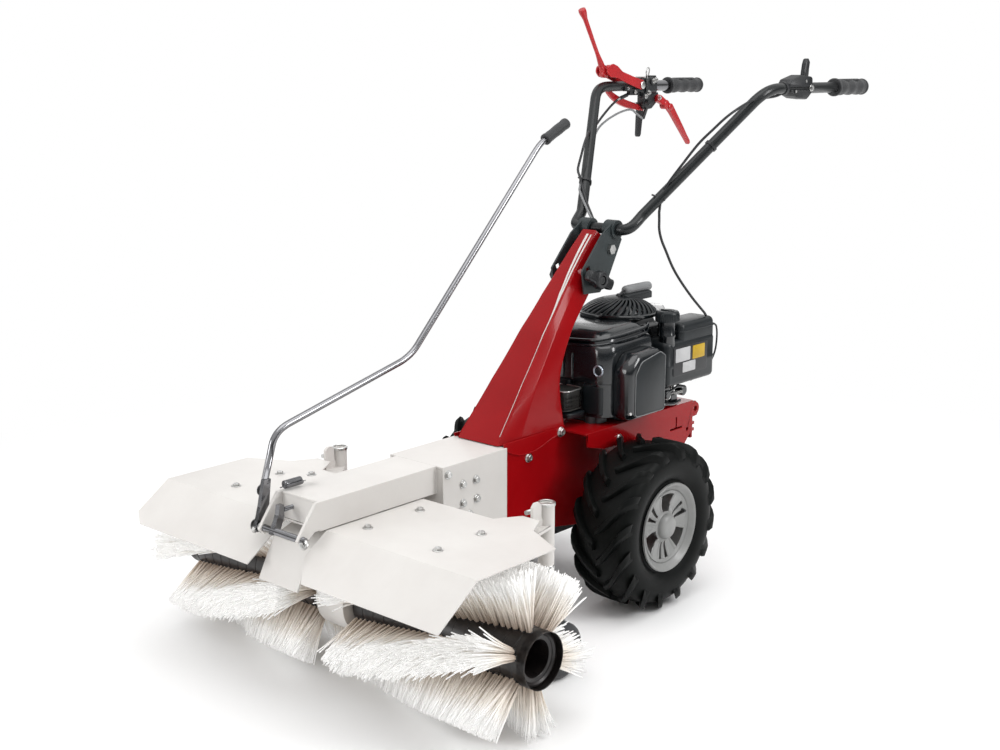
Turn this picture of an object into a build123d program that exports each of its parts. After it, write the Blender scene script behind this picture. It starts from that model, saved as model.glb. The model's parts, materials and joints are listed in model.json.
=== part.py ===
"""Walk-behind sweeper: a two-wheel power unit with a vertical-shaft engine
carries a rotary brush head in front of it. All sizes are in millimetres.

Layout frame: origin on the ground midway under the wheel axle, +Z up, the
brush in front (-Y), +X towards the machine's left-hand side. The files are
written in a frame whose origin is in the middle of the machine's length.
"""
from build123d import *
import math
import os

os.makedirs("parts", exist_ok=True)

# ---------------- driving dimensions ----------------
AXLE_SHIFT = 15.5                    # the axle stands this far behind the written origin
FIT = 0.05                           # radial running clearance

TYRE_R = 165.0                       # 13 x 5.00-6 tyre
RIM_R = 86.0                         # 6 inch rim over the flanges
RIM_SEAT_R = 77.0                    # rim barrel under the tyre
AXLE_Z = TYRE_R
AXLE_R = 12.5
AXLE_HOUSING_R = 32.0

FRAME_X, SHEET = 60.0, 3.0           # chassis half width and sheet
FRAME_INNER_X = FRAME_X - SHEET
FRAME_FRONT_Y, FRAME_REAR_Y = -262.0, 255.0
DECK_X, DECK_Z, DECK_T = 116.0, 345.0, 4.0     # half width, top face, thickness

CRANK_Y, INPUT_Y = 156.0, -60.0      # engine and gearbox pulley axes
CRANK_R, INPUT_R = 12.5, 10.0
BELT_Z = 308.0
ENGINE_PULLEY_R, GEARBOX_PULLEY_R = 31.0, 51.0
GROOVE_DEPTH = 7.0

ADAPTER_FRONT_Y, ADAPTER_REAR_Y, ADAPTER_X = -436.0, -267.0, 66.0
BEAM_X, BEAM_Z0, BEAM_Z1 = 50.0, 295.5, 345.0
BEAM_FRONT_Y = -704.0
SHAFT_Z, SHAFT_R = 320.0, 9.0        # drive shaft inside the beam

BRUSH_Y, BRUSH_Z, BRUSH_R = -585.0, 142.0, 141.5
BRUSH_HALF = 405.0                   # half working width
BRUSH_SHAFT_R = 12.5
CORE_R, CORE_BORE = 46.0, 30.0
CORE_INNER_X = 38.0                  # end of each core beside the gear case
CASE_X = 34.0                        # half width of the head gear case
HEAD_PLATE_Z = 286.5                 # underside of the head's top plate
UPRIGHT_R = 10.0                     # upright shaft on the head's turning axis
NECK_R = 20.0                        # neck that turns in the beam
HOOD_Z, HOOD_T = 292.0, 2.5
HOOD_INNER_X, HOOD_OUTER_X = 50.0, 381.0

POST_X, POST_Y = 258.0, -386.0       # caster posts
POST_BORE = 9.0
STEM_CLAMP_Z, STEM_CLAMP_R = 292.0, 4.0
STEM_PIN_R = 6.0
CASTER_R, CASTER_W, TRAIL = 50.0, 28.0, 25.0
CASTER_AXLE_R = 5.0
CASTER_ANGLE = 20.0                  # resting swivel angle, degrees behind the X axis

PIVOT_Y, PIVOT_Z, PIVOT_R = 70.0, 674.0, 6.0   # handlebar tilt pivot
KNOB_Y, KNOB_Z, KNOB_R = 15.0, 621.0, 5.0      # height clamp screws
BRACKET_X, BRACKET_T = 35.5, 4.0     # inner face and thickness of the bracket plates
BRACKET_OUTER_X = BRACKET_X + BRACKET_T
TUBE_R = 11.0                        # 22 mm handlebar tube
BOSS_Y, BOSS_Z = 88.0, 711.0         # where the tube crosses the bracket
BAR_X, BAR_Z, BAR_END = 214.0, 981.0, 742.0
LOCK_PIN, LOCK_PIN_R = (532, 938), 6.0         # (y, z) in the right-hand controls
REVERSE_PIN, REVERSE_PIN_R = (560, 954), 5.0
LEVER_Y, LEVER_Z, LEVER_R = -742.0, 290.0, 6.0     # front release lever pivot bar

SIDES = (("left", 1), ("right", -1))
CUT = Mode.SUBTRACT


# ---------------- helpers ----------------
def save(builder, name):
    """Move a finished part to the written frame and export it."""
    placed = builder.part.moved(Location((0, AXLE_SHIFT, 0)))
    placed.label = name
    export_step(placed, f"parts/{name}.step")


def side_plane(x):
    """Sketch plane at x: local x = +Y, local y = +Z, normal +X."""
    return Plane(origin=(x, 0, 0), x_dir=(0, 1, 0), z_dir=(1, 0, 0))


def outward_plane(sign, x, y, z):
    """Plane on the left (1) or right (-1) flank, with its normal away from the middle."""
    return Plane(origin=(sign * x, y, z), x_dir=(0, 1, 0), z_dir=(sign, 0, 0))


def front_plane(y, x=0, z=0):
    """Plane facing forwards (-Y): local x = +X, local y = +Z."""
    return Plane(origin=(x, y, z), x_dir=(1, 0, 0), z_dir=(0, -1, 0))


def rear_plane(y, x=0, z=0):
    """Plane facing rearwards (+Y): local x = +X, local y = -Z."""
    return Plane(origin=(x, y, z), x_dir=(1, 0, 0), z_dir=(0, 1, 0))


def polar(radius, degrees):
    angle = math.radians(degrees)
    return radius * math.cos(angle), radius * math.sin(angle)


# ================= chassis =================
frame_side = [                       # (y, z)
    (FRAME_FRONT_Y, 338), (FRAME_FRONT_Y, 180), (-60, 143), (40, 143), (120, 235),
    (FRAME_REAR_Y, 268), (FRAME_REAR_Y, 341), (-95, 341), (-95, 338)]
top_plate = [                        # (x, y)
    (-FRAME_INNER_X, FRAME_FRONT_Y), (FRAME_INNER_X, FRAME_FRONT_Y),
    (FRAME_INNER_X, -100), (-FRAME_INNER_X, -100)]
with BuildPart() as chassis_frame:
    for start_x in (-FRAME_X, FRAME_INNER_X):
        with BuildSketch(side_plane(start_x)):
            with BuildLine():
                Polyline(*frame_side, close=True)
            make_face()
        extrude(amount=SHEET)
    # folded top plate in front of the deck, with a cable passage
    with BuildSketch(Plane.XY.offset(335)):
        with BuildLine():
            Polyline(*top_plate, close=True)
        make_face()
        with Locations((0, -150)):
            Circle(24, mode=CUT)
    extrude(amount=SHEET)
    # front mounting plate for attachments
    with BuildSketch(front_plane(FRAME_FRONT_Y)):
        with Locations((0, 258)):
            Rectangle(2 * FRAME_INNER_X, 160)
        with Locations((0, SHAFT_Z)):
            Circle(16, mode=CUT)
    extrude(amount=-5)
    # rear closing plate
    with BuildSketch(front_plane(FRAME_REAR_Y)):
        with Locations((0, 305)):
            Rectangle(2 * FRAME_INNER_X, 70)
    extrude(amount=4)
    # openings for the axle housing
    with BuildSketch(side_plane(-70)):
        with Locations((0, AXLE_Z)):
            Circle(AXLE_HOUSING_R + 2.5)
    extrude(amount=140, mode=CUT)
save(chassis_frame, "chassis_frame")

deck_flange = [                      # (y, z)
    (-92, 342), (-92, 318), (-40, 304), (60, 300), (170, 268), (236, 255), (262, 280),
    (266, 342)]
with BuildPart() as engine_deck:
    with BuildSketch(Plane.XY.offset(DECK_Z - DECK_T)):
        with Locations((0, 86)):
            RectangleRounded(2 * DECK_X, 364, 6)
        with Locations((0, CRANK_Y)):
            Circle(38, mode=CUT)
    extrude(amount=DECK_T)
    for start_x in (-DECK_X, DECK_X - SHEET):
        with BuildSketch(side_plane(start_x)):
            with BuildLine():
                Polyline(*deck_flange, close=True)
            make_face()
            # T-shaped slot and a lock hole near the rear end
            with Locations((205, 296)):
                Rectangle(42, 4, mode=CUT)
            with Locations((205, 308)):
                Rectangle(4, 24, mode=CUT)
            with Locations((246, 287)):
                Circle(4, mode=CUT)
        extrude(amount=SHEET)
save(engine_deck, "engine_deck")

# tapered column cover: hollow pressed shell, open at top and bottom
COVER_Z0, COVER_Z1 = 347, 715
COVER_WALL = 3.0
cover_stations = [                   # z, front y, front half width, rear y, rear half width
    (COVER_Z0, -276, 57, -92, 62),
    (445, -192, 45, -98, 56),
    (531, -119, 35, -50, 46),
    (600, -57, 26, 26, 31.5),
    (651, -8, 20, 76, 29.5),
    (COVER_Z1, 56, 16, 118, 25)]
cover_rim_cut = [(44, 718.7), (130, 641.3), (130, 760), (44, 760)]     # (y, z)
cover_skirt = [                      # (y, z)
    (-258, 352), (-258, 334), (-230, 322), (-190, 321), (-150, 329), (-112, 338),
    (-96, 347), (-94, 352)]


def cover_section(front_y, front_x, rear_y, rear_x, inset):
    """Six-sided section of the cover, drawn in by the inset."""
    middle_y = front_y + (rear_y - front_y) * 0.30
    middle_x = front_x + (rear_x - front_x) * 0.62
    return [(-front_x + inset, front_y + inset), (front_x - inset, front_y + inset),
            (middle_x - inset, middle_y), (rear_x - inset, rear_y - inset),
            (-rear_x + inset, rear_y - inset), (-middle_x + inset, middle_y)]


with BuildPart() as column_cover:
    for z, *section in cover_stations:
        with BuildSketch(Plane.XY.offset(z)):
            with BuildLine():
                Polyline(*cover_section(*section, 0), close=True)
            make_face()
    loft(ruled=True)
    for z, *section in cover_stations:
        # the hollow runs 1 mm past both ends
        hollow_z = z + {COVER_Z0: -1, COVER_Z1: 1}.get(z, 0)
        with BuildSketch(Plane.XY.offset(hollow_z)):
            with BuildLine():
                Polyline(*cover_section(*section, COVER_WALL), close=True)
            make_face()
    loft(ruled=True, mode=CUT)
    # slanted top rim, low at the rear so that the handlebar clears it
    with BuildSketch(side_plane(-60)):
        with BuildLine():
            Polyline(*cover_rim_cut, close=True)
        make_face()
    extrude(amount=120, mode=CUT)
    # holes over the pivot tube and the clamp tube
    for centre in ((PIVOT_Y, PIVOT_Z), (KNOB_Y, KNOB_Z)):
        with BuildSketch(side_plane(-60)):
            with Locations(centre):
                Circle(11.5)
        extrude(amount=120, mode=CUT)
    # skirts that lap over the chassis sides
    for start_x in (-63.0, 60.5):
        with BuildSketch(side_plane(start_x)):
            with BuildLine():
                Polyline(*cover_skirt, close=True)
            make_face()
        extrude(amount=2.5)
    # strips that join the skirts to the shell
    for start_x in (-63.0, 54.0):
        with BuildSketch(Plane.XY.offset(COVER_Z0)):
            with BuildLine():
                Polyline((start_x, -250), (start_x + 9, -250), (start_x + 9, -100),
                         (start_x, -100), close=True)
            make_face()
        extrude(amount=4)
save(column_cover, "column_cover")

# load-carrying post inside the cover, with the pivot tube and the clamp tube
post_axis = Vector(0, 235, 352).normalized()
post_tube_x = 35.1                   # half length of the two cross tubes
post_web = [                         # (y, z)
    (-34, 602), (-22, 612), (12, 628), (66, 682), (72, 666), (24, 612), (-10, 590),
    (-36, 580)]
with BuildPart() as column_post:
    with BuildSketch(Plane(origin=(0, -204, 345.5), x_dir=(1, 0, 0), z_dir=post_axis)):
        RectangleRounded(30, 22, 4)
        RectangleRounded(24, 16, 2, mode=CUT)
    extrude(amount=315)
    # foot plate on the chassis
    with BuildSketch(Plane.XY.offset(338)):
        with Locations((0, -168)):
            RectangleRounded(92, 120, 6)
        with Locations((0, -150)):
            Circle(12, mode=CUT)
    extrude(amount=5)
    for y, z, radius in ((PIVOT_Y, PIVOT_Z, 10), (KNOB_Y, KNOB_Z, 9)):
        with BuildSketch(side_plane(-post_tube_x)):
            with Locations((y, z)):
                Circle(radius)
        extrude(amount=2 * post_tube_x)
    # web from the post to the two tubes
    with BuildSketch(side_plane(-4)):
        with BuildLine():
            Polyline(*post_web, close=True)
        make_face()
    extrude(amount=8)
    with BuildSketch(side_plane(-50)):
        with Locations((PIVOT_Y, PIVOT_Z)):
            Circle(PIVOT_R + FIT)
        with Locations((KNOB_Y, KNOB_Z)):
            Circle(KNOB_R + FIT)
    extrude(amount=100, mode=CUT)
save(column_post, "column_post")

# gearbox: lower body around the axle, front tower for the power take-off
gearbox_x, gearbox_wall = 45, 6      # half width, side wall
gearbox_outline = [                  # (y, z)
    (-225, 334.6), (-225, 205), (-190, 135), (-120, 130), (42, 130), (48, 150), (48, 210),
    (-20, 262), (-110, 262), (-140, 290), (-140, 330), (-150, 334.6)]
gear_chamber = [                     # (y, z)
    (-200, 328), (-200, 215), (-175, 145), (-110, 140), (34, 140), (38, 160), (38, 200),
    (-30, 250), (-120, 250), (-160, 280), (-160, 328)]
with BuildPart() as gearbox_case:
    with BuildSketch(side_plane(-gearbox_x)):
        with BuildLine():
            Polyline(*gearbox_outline, close=True)
        make_face()
    extrude(amount=2 * gearbox_x)
    with BuildSketch(side_plane(-100)):          # axle housing
        with Locations((0, AXLE_Z)):
            Circle(AXLE_HOUSING_R)
    extrude(amount=200)
    with BuildSketch(Plane.XY.offset(262)):      # boss of the input shaft
        with Locations((0, INPUT_Y)):
            Circle(26)
    extrude(amount=22)
    with BuildSketch(side_plane(gearbox_wall - gearbox_x)):
        with BuildLine():
            Polyline(*gear_chamber, close=True)
        make_face()
    extrude(amount=2 * (gearbox_x - gearbox_wall), mode=CUT)
    with BuildSketch(side_plane(-110)):          # axle bore
        with Locations((0, AXLE_Z)):
            Circle(AXLE_R + FIT)
    extrude(amount=220, mode=CUT)
    with BuildSketch(Plane.XY.offset(240)):      # input bore
        with Locations((0, INPUT_Y)):
            Circle(INPUT_R + FIT)
    extrude(amount=60, mode=CUT)
    with BuildSketch(front_plane(-240)):         # power take-off bore
        with Locations((0, SHAFT_Z)):
            Circle(SHAFT_R + FIT)
    extrude(amount=-60, mode=CUT)
save(gearbox_case, "gearbox_case")

# flange bolts on the skirt, the chassis and the deck, both sides
flange_bolts = [                     # y, z, seat x, hexagon radius
    (-108, 343, 63.0, 7.5), (-200, 311, FRAME_X, 6.5), (8, 316, DECK_X, 6.5)]
with BuildPart() as chassis_bolts:
    for y, z, seat_x, hex_radius in flange_bolts:
        for _, sign in SIDES:
            seat = outward_plane(sign, seat_x, y, z)
            with BuildSketch(seat):
                Circle(hex_radius + 2.5)
            extrude(amount=1.6)
            with BuildSketch(seat.offset(1.6)):
                RegularPolygon(hex_radius, 6)
            extrude(amount=5)
save(chassis_bolts, "chassis_bolts")

# rear hitch plate with a ring ear and a two-prong hook
hitch_ear = [(272, 338), (272, 304), (296, 306), (300, 312), (300, 330), (290, 338)]  # (y, z)
with BuildPart() as rear_hitch:
    with BuildSketch(Plane.XY.offset(262)):
        with Locations((30, 271)):
            Rectangle(160, 6)
    extrude(amount=76)
    with BuildSketch(side_plane(98)):
        with BuildLine():
            Polyline(*hitch_ear, close=True)
        make_face()
        with Locations((290, 321)):
            Circle(14)
            Circle(6, mode=CUT)
    extrude(amount=8)
    for z in (270, 284):
        with BuildSketch(Plane.XY.offset(z)):
            with Locations((92, 287)):
                RectangleRounded(12, 30, 4)
        extrude(amount=6)
save(rear_hitch, "rear_hitch")

# ================= sweeper beam =================
adapter_side = [                     # (y, z)
    (ADAPTER_FRONT_Y, BEAM_Z1), (ADAPTER_FRONT_Y, 268), (-404, 232), (-300, 192),
    (ADAPTER_REAR_Y, 188), (ADAPTER_REAR_Y, BEAM_Z1)]
adapter_top_t = 3.7
with BuildPart() as sweeper_adapter:
    for start_x in (-ADAPTER_X, ADAPTER_X - 4):
        with BuildSketch(side_plane(start_x)):
            with BuildLine():
                Polyline(*adapter_side, close=True)
            make_face()
        extrude(amount=4)
    with BuildSketch(Plane.XY.offset(BEAM_Z1 - adapter_top_t)):
        with Locations((0, (ADAPTER_FRONT_Y + ADAPTER_REAR_Y) / 2)):
            Rectangle(130, ADAPTER_REAR_Y - ADAPTER_FRONT_Y)
    extrude(amount=adapter_top_t)
    with BuildSketch(front_plane(ADAPTER_REAR_Y)):
        with Locations((0, 265)):
            Rectangle(130, 150)
        with Locations((0, SHAFT_Z)):
            Circle(14, mode=CUT)
    extrude(amount=5)
save(sweeper_adapter, "sweeper_adapter")

rear_box_w, rear_box_h, rear_box_z = 123.6, 109, 286.5
rear_box_wall = 4
beam_lug = [                         # (y, z)
    (-700, 345), (-700, 297.5), (-716, 297.5), (-742, 279), (-753, 290), (-745, 301),
    (-712, 345)]
with BuildPart() as sweeper_beam:
    # long front box
    with BuildSketch(front_plane(BEAM_FRONT_Y)):
        with Locations((0, (BEAM_Z0 + BEAM_Z1) / 2)):
            Rectangle(2 * BEAM_X, BEAM_Z1 - BEAM_Z0)
    extrude(amount=BEAM_FRONT_Y - ADAPTER_FRONT_Y)
    # deeper rear box inside the adapter
    with BuildSketch(front_plane(ADAPTER_FRONT_Y)):
        with Locations((0, rear_box_z)):
            Rectangle(rear_box_w, rear_box_h)
    extrude(amount=-146)
    # hollows of the two boxes
    with BuildSketch(front_plane(-710)):
        with Locations((0, 320)):
            Rectangle(2 * BEAM_X - 7, 42)
    extrude(amount=-290, mode=CUT)
    with BuildSketch(front_plane(-424)):
        with Locations((0, rear_box_z)):
            Rectangle(rear_box_w - 2 * rear_box_wall, rear_box_h - 2 * rear_box_wall)
    extrude(amount=-140, mode=CUT)
    # bearing hole of the head's neck
    with BuildSketch(Plane.XY.offset(290)):
        with Locations((0, BRUSH_Y)):
            Circle(NECK_R + FIT)
    extrude(amount=10, mode=CUT)
    # shaft bearing wall with its bore
    with BuildSketch(front_plane(-500)):
        with Locations((0, 320)):
            Rectangle(94, 43)
        with Locations((0, SHAFT_Z)):
            Circle(SHAFT_R + FIT, mode=CUT)
    extrude(amount=8)
    # lugs in front that carry the release lever's pivot bar
    for start_x in (-BEAM_X, BEAM_X - 6):
        with BuildSketch(side_plane(start_x)):
            with BuildLine():
                Polyline(*beam_lug, close=True)
            make_face()
            with Locations((LEVER_Y, LEVER_Z)):
                Circle(LEVER_R + FIT, mode=CUT)
        extrude(amount=6)
save(sweeper_beam, "sweeper_beam")

adapter_bolts = [                    # (y, z)
    (-424, 330), (-386, 304), (-352, 305), (-386, 269), (-350, 269), (-399, 254), (-369, 244)]
with BuildPart() as beam_bolts:
    for y, z in adapter_bolts:
        for _, sign in SIDES:
            seat = outward_plane(sign, ADAPTER_X, y, z)
            with BuildSketch(seat):
                Circle(7.5)
            extrude(amount=1.5)
            with BuildSketch(seat.offset(1.5)):
                RegularPolygon(6, 6)
            extrude(amount=4.5)
    # spring anchor bolt on the beam
    with BuildSketch(Plane.XY.offset(BEAM_Z1)):
        with Locations((-34, -648)):
            Circle(6)
    extrude(amount=16)
save(beam_bolts, "beam_bolts")

# ================= engine =================
cylinder_z = 408                     # axis height of the forward-lying cylinder
with BuildPart() as engine_block:
    with BuildSketch(Plane.XY.offset(DECK_Z)):
        with Locations((0, CRANK_Y)):
            RectangleRounded(180, 178, 30)
    extrude(amount=16)
    with BuildSketch(Plane.XY.offset(DECK_Z + 16)):
        with Locations((0, CRANK_Y)):
            RectangleRounded(108, 160, 22)
    extrude(amount=58)
    # finned cylinder lying forwards
    with BuildSketch(front_plane(76)):
        with Locations((0, cylinder_z)):
            RectangleRounded(72, 78, 18)
    extrude(amount=94)
    for k in range(6):
        with BuildSketch(front_plane(62 - 15 * k)):
            with Locations((0, cylinder_z)):
                RectangleRounded(104, 104, 22)
        extrude(amount=4)
    # crankshaft bore, then the crank chamber
    for z, radius, height in ((DECK_Z - 2, CRANK_R + FIT, 90), (DECK_Z + 18, 46, 44)):
        with BuildSketch(Plane.XY.offset(z)):
            with Locations((0, CRANK_Y)):
                Circle(radius)
        extrude(amount=height, mode=CUT)
save(engine_block, "engine_block")

crank_discs = [                      # start z, radius, height
    (286, CRANK_R, 196),             # shaft
    (DECK_Z + 26, 34, 9),            # crank webs
    (DECK_Z + 46, 34, 9),
    (440, 44, 18)]                   # flywheel
with BuildPart() as crankshaft:
    for z, radius, height in crank_discs:
        with BuildSketch(Plane.XY.offset(z)):
            with Locations((0, CRANK_Y)):
                Circle(radius)
        extrude(amount=height)
    # fan blades on the flywheel
    with BuildSketch(Plane.XY.offset(458)):
        with Locations((0, CRANK_Y)):
            with PolarLocations(32, 12):
                Rectangle(20, 3)
    extrude(amount=22)
save(crankshaft, "crankshaft")


def groove_section(rim_radius):
    """(radius, z) points of a V-groove rim, from the bottom face to the top face."""
    bottom_radius = rim_radius - GROOVE_DEPTH
    return [(rim_radius, BELT_Z - 11), (rim_radius, BELT_Z - 8),
            (bottom_radius, BELT_Z - 5.2), (bottom_radius, BELT_Z + 5.2),
            (rim_radius, BELT_Z + 8), (rim_radius, BELT_Z + 11)]


with BuildPart() as engine_pulley:
    with BuildSketch(Plane.XZ):
        with BuildLine():
            Polyline((CRANK_R, BELT_Z - 11), *groove_section(ENGINE_PULLEY_R),
                     (CRANK_R, BELT_Z + 11), close=True)
        make_face()
    revolve(axis=Axis.Z)
engine_pulley.part = Pos(0, CRANK_Y, 0) * engine_pulley.part
save(engine_pulley, "engine_pulley")

# gearbox pulley, in one piece with the input shaft
with BuildPart() as gearbox_pulley:
    with BuildSketch(Plane.XZ):
        with BuildLine():
            Polyline((0, 244), (INPUT_R, 244), (INPUT_R, BELT_Z - 11),
                     *groove_section(GEARBOX_PULLEY_R), (0, BELT_Z + 11), close=True)
        make_face()
    revolve(axis=Axis.Z)
gearbox_pulley.part = Pos(0, INPUT_Y, 0) * gearbox_pulley.part
save(gearbox_pulley, "gearbox_pulley")

# V-belt around both pulleys: 0.5 mm inside the rims, 0.6 mm off the groove bottoms
with BuildPart() as drive_belt:
    for radius_offset, mode in ((-0.5, Mode.ADD), (0.6 - GROOVE_DEPTH, CUT)):
        with BuildSketch(Plane.XY.offset(BELT_Z - 4.5)):
            with Locations((0, CRANK_Y)):
                Circle(ENGINE_PULLEY_R + radius_offset)
            with Locations((0, INPUT_Y)):
                Circle(GEARBOX_PULLEY_R + radius_offset)
            make_hull()
        extrude(amount=9, mode=mode)
save(drive_belt, "drive_belt")


def housing_outline(inset):
    """(x, y) outline of the blower housing, stepped in at the left rear."""
    return [(-110 + inset, -30 + inset), (112 - inset, -30 + inset),
            (112 - inset, 138 - inset), (52 - inset, 138 - inset),
            (52 - inset, 262 - inset), (-110 + inset, 262 - inset)]


# shroud over the cylinder and the flywheel, stepped in for the tank
housing_layers = [                   # start z, height, taper in degrees, inset, mode
    (372, 98, 0, 0, Mode.ADD),
    (470, 62, 8, 0, Mode.ADD),
    (370, 100, 0, 3, CUT),
    (470, 58.5, 8, 3, CUT)]
with BuildPart() as blower_housing:
    for z, height, taper, inset, mode in housing_layers:
        with BuildSketch(Plane.XY.offset(z)) as outline:
            with BuildLine():
                Polyline(*housing_outline(inset), close=True)
            make_face()
            fillet(outline.vertices(), 24 - inset)
        extrude(amount=height, taper=taper, mode=mode)
    # below z = 424 only the front left corner stays, beside the muffler
    with BuildSketch(Plane.XY.offset(370)):
        with Locations((-25, 120)):
            Rectangle(178, 320)
        with Locations((70, 190)):
            Rectangle(120, 360)
    extrude(amount=54, mode=CUT)
    with BuildSketch(Plane.XY.offset(520)):
        with Locations((0, CRANK_Y)):
            Circle(36)
    extrude(amount=20, mode=CUT)
save(blower_housing, "blower_housing")

# domed cover with radial slots
starter_section = [                  # (radius, z)
    (0, 567), (30, 565), (62, 554), (80, 536), (80, 532.2), (75, 532.2), (58, 549), (29, 560),
    (0, 562)]
with BuildPart() as starter_cover:
    with BuildSketch(Plane.XZ):
        with BuildLine():
            Polyline(*starter_section, close=True)
        make_face()
    revolve(axis=Axis.Z)
    with BuildSketch(Plane.XY.offset(528)):
        with PolarLocations(55, 24):
            Rectangle(26, 5)
    extrude(amount=40, mode=CUT)
    with BuildSketch(Plane.XY.offset(550)):
        Circle(27)
    extrude(amount=12)
starter_cover.part = Pos(0, CRANK_Y, 0) * starter_cover.part
save(starter_cover, "starter_cover")

# pull handle of the recoil starter, resting on top of the cover
handle_x, handle_z = 8, 577.5
with BuildPart() as recoil_handle:
    with BuildSketch(rear_plane(162, handle_x, handle_z)):
        Circle(9.5)
    extrude(amount=86)
    fillet(recoil_handle.edges().filter_by(GeomType.CIRCLE), 3)
    with BuildSketch(front_plane(250, handle_x, handle_z)):
        Circle(6)
    extrude(amount=30, mode=CUT)
save(recoil_handle, "recoil_handle")

filter_outline = [                   # (y, z)
    (-8, 356), (112, 356), (112, 474), (88, 490), (20, 486), (-8, 462)]
with BuildPart() as air_filter_cover:
    with BuildSketch(side_plane(112.3)):
        with BuildLine():
            Polyline(*filter_outline, close=True)
        make_face()
    extrude(amount=40)
    fillet(air_filter_cover.edges().filter_by(Axis.X), 12)
    fillet(air_filter_cover.faces().sort_by(Axis.X)[-1].edges(), 10)
save(air_filter_cover, "air_filter_cover")

# fuel tank: lower body, raised upper body and filler neck
tank_wall = 4
lower_tank, upper_tank, filler = (92, 238), (93, 262), (110, 171)      # (x, y) centres
tank_layers = [                      # start z, height, centre, width, length
    (392, 92, lower_tank, 70, 176),
    (470, 48, upper_tank, 64, 122)]
tank_hollows = [                     # start z, height, centre, width, length
    (396, 84, lower_tank, 70 - 2 * tank_wall, 176 - 2 * tank_wall),
    (476, 38, upper_tank, 64 - 2 * tank_wall, 122 - 2 * tank_wall)]
with BuildPart() as fuel_tank:
    for z, height, centre, width, length in tank_layers:
        with BuildSketch(Plane.XY.offset(z)):
            with Locations(centre):
                RectangleRounded(width, length, 12)
        extrude(amount=height)
    fillet(fuel_tank.faces().sort_by(Axis.Z)[-1].edges(), 7)
    with BuildSketch(Plane.XY.offset(470)):
        with Locations(filler):
            Circle(16)
    extrude(amount=55)
    for z, height, centre, width, length in tank_hollows:
        with BuildSketch(Plane.XY.offset(z)):
            with Locations(centre):
                RectangleRounded(width, length, 8)
        extrude(amount=height, mode=CUT)
    with BuildSketch(Plane.XY.offset(470)):
        with Locations(filler):
            Circle(12.5)
    extrude(amount=60, mode=CUT)
save(fuel_tank, "fuel_tank")

cap_z = 525.2                        # underside of the cap's rim
with BuildPart() as fuel_cap:
    with BuildSketch(Plane.XY.offset(cap_z)):
        with Locations(filler):
            Circle(24)
    extrude(amount=22)
    fillet(fuel_cap.faces().sort_by(Axis.Z)[-1].edges(), 4)
    # plug inside the filler neck
    with BuildSketch(Plane.XY.offset(513)):
        with Locations(filler):
            Circle(12.4)
    extrude(amount=cap_z - 513)
save(fuel_cap, "fuel_cap")

muffler_x = 30
with BuildPart() as muffler:
    with BuildSketch(Plane.XY.offset(374)):
        with Locations((muffler_x, -63)):
            RectangleRounded(56, 52, 12)
    extrude(amount=44)
    fillet(muffler.edges().group_by(Axis.Z)[-1], 6)
    # round stub towards the cylinder
    with BuildSketch(rear_plane(-37, muffler_x, 396)):
        Circle(9)
    extrude(amount=18.8)
save(muffler, "muffler")

# ================= wheels =================
# the shaft, then the driven wheel blank in the gear chamber
with BuildPart() as wheel_axle:
    for half_length, radius in ((244, AXLE_R), (9, 24)):
        with BuildSketch(side_plane(-half_length)):
            with Locations((0, AXLE_Z)):
                Circle(radius)
        extrude(amount=2 * half_length)
save(wheel_axle, "wheel_axle")

# left-hand half sections, (x, radius); the right-hand parts are mirrored
rim_section = [                      # flanges, well and disc
    (128, RIM_R), (131, RIM_R), (136, RIM_SEAT_R), (241, RIM_SEAT_R), (246, RIM_R),
    (249, RIM_R), (247, 74), (240, 66), (236, 30), (244, 26), (247, 18), (249, AXLE_R),
    (196, AXLE_R), (196, 22), (228, 26), (232, 66), (232, 73), (134, 73), (128, 80)]
tyre_section = [
    (136, RIM_SEAT_R), (241, RIM_SEAT_R), (243, 88), (250, 104), (250, 138), (240, 157),
    (222, TYRE_R), (153, TYRE_R), (135, 157), (125, 138), (125, 104), (133, 88)]
window_corners = [(34, -20), (64, -17), (64, 17), (34, 20)]    # (radius, degrees)

for side, sign in SIDES:
    with BuildPart() as rim:
        with BuildSketch(Plane.XY):
            with BuildLine():
                Polyline(*rim_section, close=True)
            make_face()
        revolve(axis=Axis.X)
        # three wide windows and six slots
        with BuildSketch(side_plane(225)):
            for turn in (0, 120, 240):
                with BuildLine():
                    Polyline(*[polar(radius, turn + angle) for radius, angle in window_corners],
                             close=True)
                make_face()
            for start_angle in (52, 68):
                with PolarLocations(49, 3, start_angle=start_angle):
                    Rectangle(26, 5)
        extrude(amount=20, mode=CUT)
    rim.part = Pos(0, 0, AXLE_Z) * rim.part
    if sign < 0:
        rim.part = mirror(rim.part, about=Plane.YZ)
    save(rim, f"rim_{side}")

    with BuildPart() as tyre:
        with BuildSketch(Plane.XY):
            with BuildLine():
                Polyline(*tyre_section, close=True)
            make_face()
        revolve(axis=Axis.X)
    tyre.part = Pos(0, 0, AXLE_Z) * tyre.part
    if sign < 0:
        tyre.part = mirror(tyre.part, about=Plane.YZ)
    save(tyre, f"tyre_{side}")

# ================= handlebar =================
bracket_outline = [                  # (y, z)
    (42, 704), (80, 728), (108, 690), (66, 616), (40, 592), (-10, 594), (-18, 640)]
# curved clamp slot around the pivot, through the knob's place
knob_angle = math.degrees(math.atan2(KNOB_Z - PIVOT_Z, KNOB_Y - PIVOT_Y))
knob_distance = math.hypot(KNOB_Z - PIVOT_Z, KNOB_Y - PIVOT_Y)
slot_half_width = 5.6
slot_angles = [knob_angle - 22.5 + 39 * k / 12 for k in range(13)]


def slot_edge(radius, angles):
    offsets = [polar(radius, angle) for angle in angles]
    return [(PIVOT_Y + y, PIVOT_Z + z) for y, z in offsets]


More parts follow.
